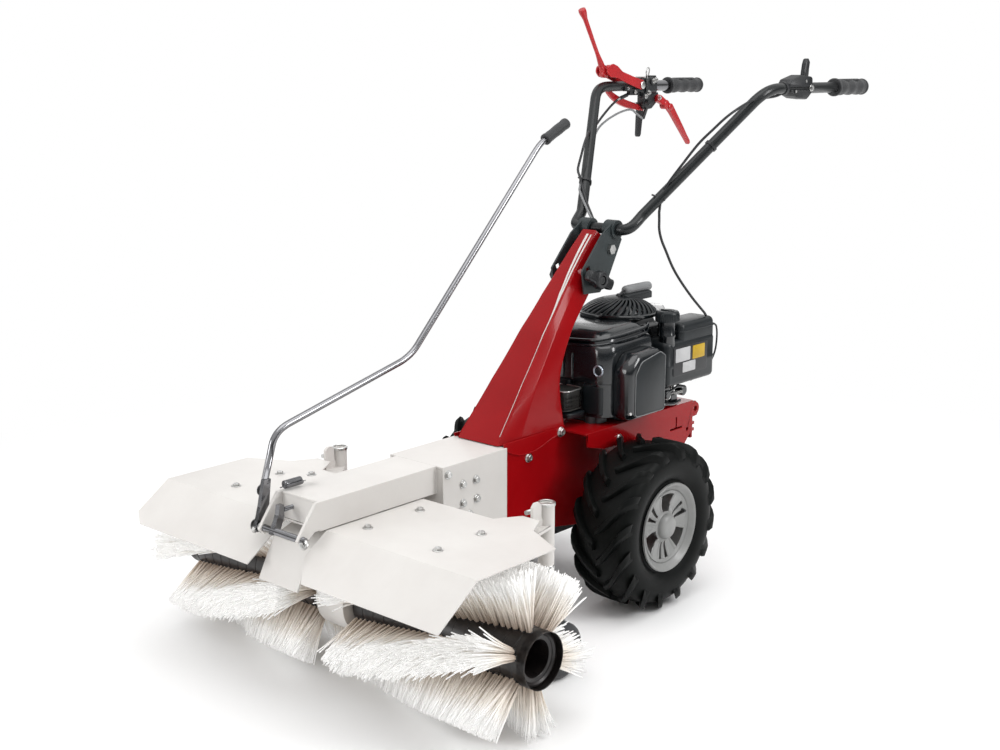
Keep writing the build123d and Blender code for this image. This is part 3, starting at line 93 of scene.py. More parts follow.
# ------------------------------------------------------------------ geometry
class Geo:
    """Collects vertices and faces in millimetres."""

    def __init__(s):
        s.v, s.f = [], []

    def add(s, verts, faces, M=None):
        n = len(s.v)
        for p in verts:
            p = Vector(p)
            s.v.append(M @ p if M is not None else p)
        s.f += [tuple(i + n for i in f) for f in faces]
        return s

    def tube(s, pts, r, seg=14, closed=False, cap=True, squash=None):
        pts = [Vector(p) for p in pts]
        n = len(pts)
        rr = r if callable(r) else (lambda t: r)
        tan = []
        for i in range(n):
            a = pts[(i - 1) % n] if (closed or i > 0) else pts[i]
            b = pts[(i + 1) % n] if (closed or i < n - 1) else pts[i]
            tan.append((b - a).normalized())
        up = Vector((0, 0, 1)) if abs(tan[0].z) < 0.9 else Vector((1, 0, 0))
        nrm = (up - tan[0] * up.dot(tan[0])).normalized()
        verts = []
        for i in range(n):
            if i:
                nrm = (nrm - tan[i] * nrm.dot(tan[i])).normalized()
            bi = tan[i].cross(nrm)
            ri = rr(i / max(1, n - 1))
            for k in range(seg):
                a = 2 * math.pi * k / seg
                verts.append(pts[i] + (nrm * math.cos(a) + bi * math.sin(a)) * ri)
        faces = []
        for i in range(n if closed else n - 1):
            for k in range(seg):
                j = (i + 1) % n
                faces.append((i * seg + k, i * seg + (k + 1) % seg, j * seg + (k + 1) % seg, j * seg + k))
        if cap and not closed:
            faces.append(tuple(reversed(range(seg))))
            faces.append(tuple((n - 1) * seg + k for k in range(seg)))
        return s.add(verts, faces)

    def lathe(s, prof, o, axis, seg=48, closed=False):
        """prof: (distance along the axis, radius)."""
        axis = Vector(axis).normalized()
        up = Vector((0, 0, 1)) if abs(axis.z) < 0.9 else Vector((1, 0, 0))
        e1 = (up - axis * up.dot(axis)).normalized()
        e2 = axis.cross(e1)
        o = Vector(o)
        verts, faces, idx = [], [], []
        for a, r in prof:
            if r < 1e-6:
                idx.append([len(verts)] * seg)
                verts.append(o + axis * a)
            else:
                row = []
                for k in range(seg):
                    t = 2 * math.pi * k / seg
                    row.append(len(verts))
                    verts.append(o + axis * a + (e1 * math.cos(t) + e2 * math.sin(t)) * r)
                idx.append(row)
        m = len(prof)
        for i in range(m if closed else m - 1):
            A, B = idx[i], idx[(i + 1) % m]
            for k in range(seg):
                q = []
                for w in (A[k], A[(k + 1) % seg], B[(k + 1) % seg], B[k]):
                    if w not in q:
                        q.append(w)
                if len(q) > 2:
                    faces.append(tuple(q))
        if not closed:
            for row, rev in ((idx[0], True), (idx[-1], False)):
                if len(set(row)) > 1:
                    faces.append(tuple(reversed(row)) if rev else tuple(row))
        return s.add(verts, faces)

    def prism(s, poly, o, u, v, w, a0, a1):
        """2-D polygon in directions u, v at o, swept along w from a0 to a1."""
        o, u, v, w = Vector(o), Vector(u), Vector(v), Vector(w)
        n = len(poly)
        verts = [o + u * p[0] + v * p[1] + w * a for a in (a0, a1) for p in poly]
        faces = [tuple(reversed(range(n))), tuple(range(n, 2 * n))]
        faces += [(k, (k + 1) % n, n + (k + 1) % n, n + k) for k in range(n)]
        return s.add(verts, faces)

    def yz(s, poly, x0, x1):
        return s.prism(poly, (0, 0, 0), (0, 1, 0), (0, 0, 1), (1, 0, 0), x0, x1)

    def xy(s, poly, z0, z1):
        return s.prism(poly, (0, 0, 0), (1, 0, 0), (0, 1, 0), (0, 0, 1), z0, z1)

    def loft(s, rings, cap=True, closed=False):
        n = len(rings[0])
        verts = [Vector(p) for r in rings for p in r]
        m = len(rings)
        faces = []
        for i in range(m if closed else m - 1):
            j = (i + 1) % m
            for k in range(n):
                faces.append((i * n + k, i * n + (k + 1) % n, j * n + (k + 1) % n, j * n + k))
        if cap and not closed:
            faces.append(tuple(reversed(range(n))))
            faces.append(tuple((m - 1) * n + k for k in range(n)))
        return s.add(verts, faces)

    def box(s, c, size, M=None):
        x, y, z = (d / 2 for d in size)
        c = Vector(c)
        vs = [c + Vector((i * x, j * y, k * z)) for k in (-1, 1) for j in (-1, 1) for i in (-1, 1)]
        return s.add(vs, [(0, 2, 3, 1), (4, 5, 7, 6), (0, 1, 5, 4), (2, 6, 7, 3), (0, 4, 6, 2), (1, 3, 7, 5)], M)

    def bolt(s, o, d, r=6.5, h=5, washer=True, flange=None, dome=False):
        """hexagon head with washer face, chamfered top and a shallow sunken centre; dome=True gives a domed head."""
        d = Vector(d).normalized()
        up = Vector((0, 0, 1)) if abs(d.z) < 0.9 else Vector((1, 0, 0))
        e1 = (up - d * up.dot(d)).normalized()
        e2 = d.cross(e1)
        o = Vector(o)
        if washer:
            R = flange or r * 1.5
            s.lathe([(0, 0), (0, R), (1.2, R), (1.6, R - 0.5), (1.6, 0)], o, d, 28)
        b = 1.5 if washer else 0
        if dome:
            prof = [(b, 0), (b, r), (b + h * 0.35, r * 0.97), (b + h * 0.7, r * 0.78), (b + h * 0.92, r * 0.45), (b + h, r * 0.3), (b + h, 0)]
            s.lathe(prof, o, d, 24)
            return s
        rings = []
        for a, q in ((b, 1), (b + h * 0.8, 1), (b + h, 0.86), (b + h, 0.5), (b + h * 0.86, 0.44)):
            ring = []
            for k in range(12):
                t = 2 * math.pi * k / 12
                cor = 1.0 if k % 2 == 0 else math.cos(math.pi / 6)
                if q < 0.9:
                    cor = 1.0 * math.cos(math.pi / 12)
                ring.append(o + d * a + (e1 * math.cos(t) + e2 * math.sin(t)) * r * q * cor)
            rings.append(ring)
        return s.loft(rings)

    def obj(s, name, mat, body, slot=None, bevel=0.0, seg=2, angle=32, smooth=True, sub=0, solid=0.0, replaces=None, fixn=True):
        me = bpy.data.meshes.new(name)
        me.from_pydata([tuple((p + OFF) * MM) for p in s.v], [], s.f)
        me.validate()
        if fixn:
            b = bmesh.new()
            b.from_mesh(me)
            bmesh.ops.recalc_face_normals(b, faces=b.faces)
            b.to_mesh(me)
            b.free()
        if smooth:
            me.polygons.foreach_set("use_smooth", [True] * len(me.polygons))
            me.set_sharp_from_angle(angle=rad(angle))
        me.update()
        o = bpy.data.objects.new(name, me)
        bpy.context.scene.collection.objects.link(o)
        for m in (mat if isinstance(mat, (list, tuple)) else [mat]):
            me.materials.append(m)
        if solid:
            m = o.modifiers.new("solid", "SOLIDIFY")
            m.thickness, m.offset = solid * MM, -1
        if bevel:
            m = o.modifiers.new("bevel", "BEVEL")
            m.width, m.segments, m.limit_method, m.angle_limit = bevel * MM, seg, "ANGLE", rad(angle)
            m.harden_normals = True
            m.miter_outer = "MITER_ARC" if seg > 2 else "MITER_SHARP"
        if sub:
            m = o.modifiers.new("sub", "SUBSURF")
            m.levels = m.render_levels = sub
        if isinstance(body, tuple):
            pass
        else:
            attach(o, body)
        if replaces:
            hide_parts(*replaces)
        return o


def join(o):
    """bakes the object's transform into its mesh; the piece stays on no body."""
    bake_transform(o)


def spline(pts, step=6.0, tension=0.5):
    """Catmull-Rom through pts, roughly even steps."""
    P = [Vector(p) for p in pts]
    out = []
    for i in range(len(P) - 1):
        p0 = P[i - 1] if i else P[0] * 2 - P[1]
        p1, p2 = P[i], P[i + 1]
        p3 = P[i + 2] if i + 2 < len(P) else P[-1] * 2 - P[-2]
        n = max(2, int((p2 - p1).length / step))
        for k in range(n):
            t = k / n
            out.append(0.5 * ((2 * p1) + (p2 - p0) * t + (2 * p0 - 5 * p1 + 4 * p2 - p3) * t * t + (3 * p1 - p0 - 3 * p2 + p3) * t ** 3))
    out.append(P[-1])
    return out


def fillet_path(pts, radii, seg=8):
    """Straight runs joined by arcs."""
    P = [Vector(p) for p in pts]
    out = [P[0]]
    for i in range(1, len(P) - 1):
        a, b, c = P[i - 1], P[i], P[i + 1]
        u, w = (a - b).normalized(), (c - b).normalized()
        r = radii[i - 1] if isinstance(radii, (list, tuple)) else radii
        ang = u.angle(w)
        d = min(r / math.tan(ang / 2), (a - b).length * 0.49, (c - b).length * 0.49)
        r = d * math.tan(ang / 2)
        cen = b + (u + w).normalized() * (r / math.sin(ang / 2))
        s, e = b + u * d, b + w * d
        for k in range(seg + 1):
            q = (s - cen).lerp(e - cen, k / seg)
            out.append(cen + q.normalized() * r)
    out.append(P[-1])
    return out


def round_poly(pts, r, seg=5):
    """2-D polygon with rounded corners."""
    n = len(pts)
    out = []
    for i in range(n):
        a, b, c = Vector(pts[i - 1]), Vector(pts[i]), Vector(pts[(i + 1) % n])
        u, w = (a - b).normalized(), (c - b).normalized()
        ri = r[i] if isinstance(r, (list, tuple)) else r
        ang = u.angle(w)
        if ri < 1e-6:
            out += [tuple(b)]
            continue
        if ang > 3.13:
            out += [tuple(b + (w - u).normalized() * (2.0 * k / seg - 1.0)) for k in range(seg + 1)]
            continue
        d = min(ri / math.tan(ang / 2), (a - b).length * 0.49, (c - b).length * 0.49)
        rr = d * math.tan(ang / 2)
        cen = b + (u + w).normalized() * (rr / math.sin(ang / 2))
        s, e = b + u * d, b + w * d
        for k in range(seg + 1):
            q = (s - cen).lerp(e - cen, k / seg)
            out.append(tuple(cen + q.normalized() * rr))
    return out


def rrect(cx, cy, w, h, r, seg=5):
    return round_poly([(cx - w / 2, cy - h / 2), (cx + w / 2, cy - h / 2), (cx + w / 2, cy + h / 2), (cx - w / 2, cy + h / 2)], r, seg)


def scale_poly(poly, cx, cy, sx, sy=None):
    sy = sx if sy is None else sy
    return [(cx + (x - cx) * sx, cy + (y - cy) * sy) for x, y in poly]


# ------------------------------------------------------------------ materials
def material(name, base, rough, metal=0.0, var=0.12, vscale=18.0, bump=0.15, bscale=900.0, bdist=0.00015, coat=0.0, rvar=0.12,
             spec=0.5, kind=None, dirt=0.0, dirt_col=(0.35, 0.33, 0.3), sheen=0.0, second=None, aniso=None, wear=None, sss=0.0):
    m = bpy.data.materials.new(name)
    m.use_nodes = True
    nt = m.node_tree
    N, L = nt.nodes, nt.links
    b = N["Principled BSDF"]
    b.inputs["Metallic"].default_value = metal
    b.inputs["Specular IOR Level"].default_value = spec
    b.inputs["Coat Weight"].default_value = coat
    b.inputs["Coat Roughness"].default_value = 0.08
    if sheen:
        b.inputs["Sheen Weight"].default_value = sheen
        b.inputs["Sheen Roughness"].default_value = 0.5
    if sss:
        b.inputs["Subsurface Weight"].default_value = sss
        b.inputs["Subsurface Radius"].default_value = (0.004, 0.003, 0.002)
        b.inputs["Subsurface Scale"].default_value = 1.0
    tc = N.new("ShaderNodeTexCoord")

    def noise(scale, detail=4, rough_=0.55, vec=None, dist=0.0):
        n = N.new("ShaderNodeTexNoise")
        n.inputs["Scale"].default_value = scale
        n.inputs["Detail"].default_value = detail
        n.inputs["Roughness"].default_value = rough_
        n.inputs["Distortion"].default_value = dist
        L.new(vec if vec is not None else tc.outputs["Object"], n.inputs["Vector"])
        return n

    def ramp(src, stops, interp="LINEAR"):
        r = N.new("ShaderNodeValToRGB")
        r.color_ramp.interpolation = interp
        e = r.color_ramp.elements
        e[0].position, e[0].color = stops[0][0], (*stops[0][1], 1)
        e[1].position, e[1].color = stops[-1][0], (*stops[-1][1], 1)
        for p, c in stops[1:-1]:
            x = e.new(p)
            x.color = (*c, 1)
        L.new(src, r.inputs["Fac"])
        return r

    def mix(fac, a, c, blend="MIX"):
        x = N.new("ShaderNodeMix")
        x.data_type = "RGBA"
        x.blend_type = blend
        if isinstance(fac, float):
            x.inputs["Factor"].default_value = fac
        else:
            L.new(fac, x.inputs["Factor"])
        for key, val in (("A", a), ("B", c)):
            if isinstance(val, tuple):
                x.inputs[key].default_value = (*val, 1)
            else:
                L.new(val, x.inputs[key])
        for o_ in x.outputs:
            if o_.type == "RGBA":
                return o_

    dark = tuple(c * (1 - var) for c in base)
    lite = tuple(min(1, c * (1 + var)) for c in base)
    n1 = noise(vscale, 5, 0.6)
    col = ramp(n1.outputs["Fac"], [(0.3, dark), (0.7, second or lite)]).outputs["Color"]
    vec = None
    if kind == "brushed":
        mp = N.new("ShaderNodeMapping")
        mp.inputs["Scale"].default_value = aniso or (1, 40, 40)
        L.new(tc.outputs["Object"], mp.inputs["Vector"])
        vec = mp.outputs["Vector"]
    n2 = noise(bscale, 3, 0.5, vec)
    if kind in ("tyre", "dust", "fibre"):
        n3 = noise(55, 6, 0.7)
        f = ramp(n3.outputs["Fac"], [(0.48, (0, 0, 0)), (0.75, (1, 1, 1))])
        fac = N.new("ShaderNodeMath")
        fac.operation = "MULTIPLY"
        L.new(f.outputs["Color"], fac.inputs[0])
        fac.inputs[1].default_value = dirt
        col = mix(fac.outputs[0], col, dirt_col)
    if wear is not None:
        g = N.new("ShaderNodeNewGeometry")
        r = ramp(g.outputs["Pointiness"], [(0.53, (0, 0, 0)), (0.60, (1, 1, 1))])
        f2 = N.new("ShaderNodeMath")
        f2.operation = "MULTIPLY"
        L.new(r.outputs["Color"], f2.inputs[0])
        L.new(noise(130, 3).outputs["Fac"], f2.inputs[1])
        col = mix(f2.outputs[0], col, wear)
    L.new(col, b.inputs["Base Color"])
    mr = N.new("ShaderNodeMapRange")
    mr.inputs["To Min"].default_value = max(0.02, rough - rvar * rough)
    mr.inputs["To Max"].default_value = min(1, rough + rvar * rough * 1.6)
    L.new(noise(vscale * 2.3, 4, 0.6).outputs["Fac"], mr.inputs["Value"])
    L.new(mr.outputs["Result"], b.inputs["Roughness"])
    bp = N.new("ShaderNodeBump")
    bp.inputs["Strength"].default_value = bump
    bp.inputs["Distance"].default_value = bdist
    L.new(n2.outputs["Fac"], bp.inputs["Height"])
    L.new(bp.outputs["Normal"], b.inputs["Normal"])
    return m


M_RED = material("red_paint", (0.27, 0.002, 0.004), 0.24, var=0.07, vscale=6, bump=0.06, bscale=420, bdist=0.0003, coat=0.16, spec=0.12, second=(0.31, 0.003, 0.005))
M_WHITE = material("white_paint", (0.64, 0.615, 0.59), 0.46, var=0.03, vscale=7, bump=0.10, bscale=620, bdist=0.0002, coat=0.05, spec=0.3, second=(0.68, 0.66, 0.635))
M_BLACK = material("black_paint", (0.008, 0.010, 0.011), 0.30, var=0.25, vscale=30, bump=0.10, bscale=700, coat=0.1, spec=0.35, wear=(0.05, 0.05, 0.05))
M_GREY = material("grey_paint", (0.024, 0.032, 0.034), 0.42, spec=0.35, var=0.18, vscale=26, bump=0.18, bscale=800, wear=(0.09, 0.09, 0.09))
M_ENG = material("engine_plastic", (0.006, 0.008, 0.010), 0.20, var=0.3, vscale=22, bump=0.10, bscale=1100, bdist=0.0001, coat=0.5)
M_ENG2 = material("engine_plastic_satin", (0.007, 0.010, 0.012), 0.36, spec=0.4, var=0.2, vscale=24, bump=0.25, bscale=1500, bdist=0.0001)
M_PLA = material("black_plastic", (0.009, 0.010, 0.012), 0.40, var=0.3, vscale=30, bump=0.3, bscale=1400, bdist=0.00012)
M_RUB = material("rubber", (0.012, 0.013, 0.015), 0.55, var=0.3, vscale=40, bump=0.35, bscale=1600, bdist=0.00015, sheen=0.15)
M_TYRE = material("tyre", (0.003, 0.0036, 0.0034), 0.42, var=0.35, vscale=14, bump=0.35, bscale=700, bdist=0.0003, kind="tyre", dirt=0.2, dirt_col=(0.007, 0.008, 0.007), spec=0.10)
M_RIM = material("rim_grey", (0.22, 0.225, 0.22), 0.38, var=0.08, vscale=16, bump=0.1, bscale=900, coat=0.15, second=(0.27, 0.27, 0.265))
M_ZINC = material("zinc_steel", (0.56, 0.56, 0.55), 0.30, 1.0, var=0.16, vscale=60, bump=0.2, bscale=500, kind="brushed", aniso=(1, 1, 8))
M_CHROME = material("chrome", (0.24, 0.24, 0.25), 0.16, 1.0, var=0.05, vscale=30, bump=0.05, bscale=260, rvar=0.5, kind="brushed", aniso=(4, 1, 1))
M_CAST = material("cast_metal", (0.035, 0.036, 0.038), 0.62, 0.2, var=0.3, vscale=30, bump=0.6, bscale=420, bdist=0.0006)
M_BLOCK = material("engine_metal", (0.10, 0.105, 0.11), 0.48, 0.7, var=0.25, vscale=35, bump=0.6, bscale=500, bdist=0.0005)
M_MUF = material("muffler_metal", (0.016, 0.017, 0.017), 0.42, 0.4, var=0.4, vscale=40, bump=0.4, bscale=600, bdist=0.0003, second=(0.04, 0.038, 0.034))
M_HGREY = material("handle_grey", (0.20, 0.205, 0.21), 0.48, var=0.15, vscale=40, bump=0.25, bscale=1500)
M_CORE = material("core_plastic", (0.010, 0.008, 0.008), 0.34, var=0.35, vscale=25, bump=0.25, bscale=700, bdist=0.0003, kind="dust", dirt=0.10, dirt_col=(0.16, 0.12, 0.10))
M_DISC = material("cover_light", (0.5, 0.5, 0.5), 0.25, var=0.1, vscale=20, bump=0.1, bscale=700, coat=0.3)
M_RING = material("badge_ring", (0.42, 0.46, 0.52), 0.28, 0.8, var=0.1, vscale=60, bump=0.1, bscale=900)
M_REDP = material("red_lever", (0.42, 0.006, 0.010), 0.34, var=0.12, vscale=22, bump=0.2, bscale=1100, coat=0.2)
M_LABEL = material("plate_white", (0.46, 0.46, 0.47), 0.42, var=0.10, vscale=26, bump=0.12, bscale=900, bdist=0.0001, spec=0.3, second=(0.52, 0.52, 0.52))
M_YELLOW = material("plate_yellow", (0.50, 0.31, 0.012), 0.42, var=0.10, vscale=26, bump=0.12, bscale=900, bdist=0.0001, spec=0.3, second=(0.55, 0.36, 0.02))


def bristle_material():
    m = material("bristle_fibre", (0.97, 0.96, 0.94), 0.6, var=0.04, vscale=70, bump=0.4, bscale=1700, bdist=0.0003, second=(0.99, 0.985, 0.975), sheen=0.2, sss=0.0)
    nt = m.node_tree
    N, L = nt.nodes, nt.links
    b = N["Principled BSDF"]
    src = b.inputs["Base Color"].links[0].from_socket
    # painted shade: darker and warmer towards the core, where the strands shade each other deep in the tufts
    at = N.new("ShaderNodeAttribute")
    at.attribute_name = "tip"
    r = N.new("ShaderNodeValToRGB")
    e = r.color_ramp.elements
    e[0].position, e[0].color = 0.0, (0.52, 0.40, 0.31, 1)
    e[1].position, e[1].color = 0.80, (1, 1, 1, 1)
    x = e.new(0.40)
    x.color = (0.92, 0.86, 0.79, 1)
    L.new(at.outputs["Fac"], r.inputs["Fac"])
    core_shade_mix = N.new("ShaderNodeMix")
    core_shade_mix.data_type, core_shade_mix.blend_type = "RGBA", "MULTIPLY"
    core_shade_mix.inputs["Factor"].default_value = 1.0
    L.new(src, core_shade_mix.inputs["A"])
    L.new(r.outputs["Color"], core_shade_mix.inputs["B"])
    out = [o for o in core_shade_mix.outputs if o.type == "RGBA"][0]
    at2 = N.new("ShaderNodeAttribute")
    at2.attribute_name = "shade"
    hs = N.new("ShaderNodeHueSaturation")
    L.new(out, hs.inputs["Color"])
    L.new(at2.outputs["Fac"], hs.inputs["Value"])
    L.new(hs.outputs["Color"], b.inputs["Base Color"])
    # painted glow: the strands give off light in their own colour, stronger towards the tips, so they read brighter
    # without a lamp
    L.new(hs.outputs["Color"], b.inputs["Emission Color"])
    tip_glow_strength = N.new("ShaderNodeMath")
    tip_glow_strength.operation = "MULTIPLY"
    L.new(at.outputs["Fac"], tip_glow_strength.inputs[0])
    tip_glow_strength.inputs[1].default_value = 0.20
    L.new(tip_glow_strength.outputs[0], b.inputs["Emission Strength"])
    return m


M_BRIS = bristle_material()

SLOTMAT = {"red_paint": M_RED, "white_paint": M_WHITE, "black_paint": M_BLACK, "grey_paint": M_GREY, "engine_plastic": M_ENG,
           "black_plastic": M_PLA, "rubber": M_RUB, "tyre": M_TYRE, "rim_grey": M_RIM, "zinc_steel": M_ZINC, "chrome": M_CHROME,
           "cast_metal": M_CAST, "engine_metal": M_BLOCK, "muffler_metal": M_MUF, "handle_grey": M_HGREY, "core_plastic": M_CORE,
           "bristle_fibre": M_BRIS}

# CAD nodes: procedural finish from their slot, welded and lightly bevelled
BEV = {"chassis_frame": 0.7, "engine_deck": 0.8, "rear_hitch": 0.8, "sweeper_adapter": 0.8, "sweeper_beam": 1.0, "head_frame": 0.6,
       "gearbox_case": 2.0, "bar_bracket": 0.8, "engine_block": 1.5, "hood_left": 0.5, "hood_right": 0.5, "column_post": 0.8,
       "caster_fork_left": 0.6, "caster_fork_right": 0.6, "clamp_bolt": 0.8, "lock_lever": 1.0}
for sp in frame["record"]["subparts"]:
    n = sp["node"]
    o = NODES[n]
    o.data.materials.clear()
    o.data.materials.append(SLOTMAT[sp["material_slot"]])
    if "custom_normal" in o.data.attributes:
        o.data.attributes.remove(o.data.attributes["custom_normal"])
    w = o.modifiers.new("weld", "WELD")
    w.merge_threshold = 0.00001
    if n in BEV:
        m = o.modifiers.new("bevel", "BEVEL")
        m.width, m.segments, m.limit_method, m.angle_limit = BEV[n] * MM, 2, "ANGLE", rad(32)
        m.use_clamp_overlap = False
        m.harden_normals = True
        m.miter_outer = "MITER_SHARP"
        o.data.polygons.foreach_set("use_smooth", [True] * len(o.data.polygons))

# ------------------------------------------------------------------ column cover
ST = [(347, -276, 51, -92, 62), (445, -192, 40.5, -98, 56), (531, -119, 32, -50, 46), (600, -57, 25, 26, 31.5), (651, -8, 20, 76, 29.5), (715, 56, 16, 118, 25)]


def station(z):
    Z = [s[0] for s in ST]
    i = max(0, min(len(Z) - 2, sum(1 for q in Z[1:] if q <= z)))
    t = (z - Z[i]) / (Z[i + 1] - Z[i])
    out = []
    for c in range(1, 5):
        p1, p2 = ST[i][c], ST[i + 1][c]
        p0 = ST[i - 1][c] if i else p1 - (p2 - p1)
        p3 = ST[i + 2][c] if i + 2 < len(ST) else p2 + (p2 - p1)
        m1, m2 = (p2 - p0) / 2, (p3 - p1) / 2
        h00, h10, h01, h11 = 2 * t**3 - 3 * t * t + 1, t**3 - 2 * t * t + t, -2 * t**3 + 3 * t * t, t**3 - t * t
        out.append(h00 * p1 + h10 * m1 + h01 * p2 + h11 * m2)
    return out


def column_ring(z, d):
    yf, xf, yr, xr = station(z)
    ym = yf + (yr - yf) * 0.30
    xm = xf + (xr - xf) * 0.62
    # six rounded corners: two at the front, a crease on each side and two at the back
    pts = [(-xf + d, yf + d), (xf - d, yf + d), (xm - d, ym), (xr - d, yr - d), (-xr + d, yr - d), (-xm + d, ym)]
    ring = round_poly(pts, [5, 5, 14, 7, 7, 14], 4)
    out = []
    for x, y in ring:
        out.append((x, y, z))
    return out


def cut_top(rings):
    """slide the points above the slanted rim down their own line onto the rim."""
    n = len(rings[0])
    for k in range(n):
        hit = None
        for i in range(len(rings)):
            x, y, z = rings[i][k]
            f = z - (711.5 - 0.9 * (y - 52))
            if hit is None and f > 0:
                x0, y0, z0 = rings[i - 1][k]
                f0 = z0 - (711.5 - 0.9 * (y0 - 52))
                t = -f0 / (f - f0)
                hit = (x0 + (x - x0) * t, y0 + (y - y0) * t, z0 + (z - z0) * t)
            if hit is not None:
                rings[i][k] = hit
    return rings


g = Geo()
zs = [347 + (640 - 347) * k / 28 for k in range(28)] + [640 + (722 - 640) * k / 24 for k in range(25)]
rings = cut_top([column_ring(z, 0) for z in zs])
inner = cut_top([column_ring(z, 2.6) for z in zs])[::-1]
g.loft(rings + inner, cap=False, closed=True)
g.obj("column_shell", M_RED, "chassis", "red_paint", bevel=0.7, angle=28, replaces=["column_cover"])
# skirt that laps the chassis sides, with its pressed flange
g = Geo()
sk = [(-274, 352), (-268, 340), (-252, 331), (-230, 323), (-205, 320.5), (-180, 322), (-158, 328), (-140, 334), (-118, 339), (-100, 347), (-95, 353)]
for s in (1, -1):
    x0, x1 = (60.5, 63.0) if s > 0 else (-63.0, -60.5)
    g.yz(sk, x0, x1)
    # turned lip under the skirt
    g.tube([(s * 62.2, y, z) for y, z in sk[1:-1]], 1.6, 8)
g.obj("column_skirt", M_RED, "chassis", "red_paint", bevel=0.6)
# crease trim: a raised red line down the front corner on each side
for s, nm in ((1, "left"), (-1, "right")):
    g = Geo()
    pts = []
    for k in range(30):
        z = 352 + (688 - 352) * k / 29
        yf, xf, yr, xr = station(z)
        ym = yf + (yr - yf) * 0.30
        xm = xf + (xr - xf) * 0.62
        pts.append((s * (xf - 1.7), yf + 1.6, z))
    g.tube(pts, 1.5, 8)
    g.obj("column_crease_" + nm, M_RED, "chassis", "red_paint")

# two plain pale lines that run down from the top: one on the front face, one in the left crease; the lower, thinning
# part of the crease line is a painted highlight along the corner
def skin(x, y0, z0):
    """point on the front of the cover at height z0: the ring's face through x."""
    yf, xf, yr, xr = station(z0)
    ym, xm = yf + (yr - yf) * 0.30, xf + (xr - xf) * 0.62
    if x <= xf:
        return yf
    return yf + (ym - yf) * (x - xf) / (xm - xf)


# crease line: the full-width run at the top is a pale stripe; below z = 610 it thins out into a painted highlight along
# the corner, down to z = 360
CREASE = []
for k in range(36):
    z = 703 - 9.8 * k
    CREASE.append((z, station(z)[1] - 4.4, 1.5 if z > 610 else max(0.35, 1.5 - (610 - z) * 0.010)))
for nm, rows in (("front", ((704, 3.2, 2.6), (690, 4.4, 2.6), (672, 6, 2.4), (650, 8.5, 2.2), (625, 12.5, 1.9), (600, 17, 1.6), (575, 21.6, 1.2), (550, 25.6, 0.8), (528, 28.2, 0.2))),
                 ("crease", tuple(CREASE))):
    rings = []
    for (z1, x1, h1), (z2, x2, h2) in zip(rows[:-1], rows[1:]):
        for k in range(6):
            t = k / 6
            z, x, h = z1 + (z2 - z1) * t, x1 + (x2 - x1) * t, h1 + (h2 - h1) * t
            rings.append([(x - h, skin(x - h, 0, z) - 1.0, z), (x + h, skin(x + h, 0, z) - 1.0, z), (x + h, skin(x + h, 0, z) + 1.2, z), (x - h, skin(x - h, 0, z) + 1.2, z)])
    g = Geo()
    g.loft(rings)
    g.obj("column_line_" + nm, M_WHITE, "chassis", "white_paint", angle=50)

# folded plate that closes the front end of the beam
g = Geo()
g.loft([[(x, y, z) for x, z in rrect(0, 320, 92, 41, 3, 4)] for y in (-702.5, -699.5)])
g.obj("beam_nose_plate", M_WHITE, "chassis", "white_paint", bevel=0.6)

# flange bolts
g = Geo()
for (y, z, x0, r) in ((-108, 343, 63.0, 7.5), (-200, 311, 60.0, 6.5), (8, 316, 116.0, 6.5)):
    for s in (1, -1):
        g.bolt((s * x0, y, z), (s, 0, 0), r, 5.2, True, r + 2.6)
g.obj("chassis_bolt_heads", M_ZINC, "chassis", "zinc_steel", replaces=["chassis_bolts"])
g = Geo()
for (y, z) in ((-424, 330), (-386, 304), (-352, 305), (-386, 269), (-350, 269), (-399, 254), (-369, 244)):
    for s in (1, -1):
        g.bolt((s * 66, y, z), (s, 0, 0), 6.4, 4.6, True, 8.2)
g.obj("beam_bolt_heads", M_ZINC, "chassis", "zinc_steel", replaces=["beam_bolts"])
g = Geo()
for s in (1, -1):
    for (x, y) in ((92, -640), (92, -520), (250, -640), (250, -540)):
        g.bolt((s * x, y, 294.5), (0, 0, 1), 6, 4, True, 8.6)
g.obj("head_bolt_heads", M_ZINC, "head", "zinc_steel", replaces=["head_bolts"])

# ------------------------------------------------------------------ wheels
TY_W, TY_R, AX = 62.5, 165.0, 165.0


def tyre_r(x):
    """outer radius of the carcass at distance x from the middle plane."""
    t = abs(x) / TY_W
    return 155.5 - 9.0 * t ** 2.2 - (0 if t < 0.86 else (t - 0.86) * 70)


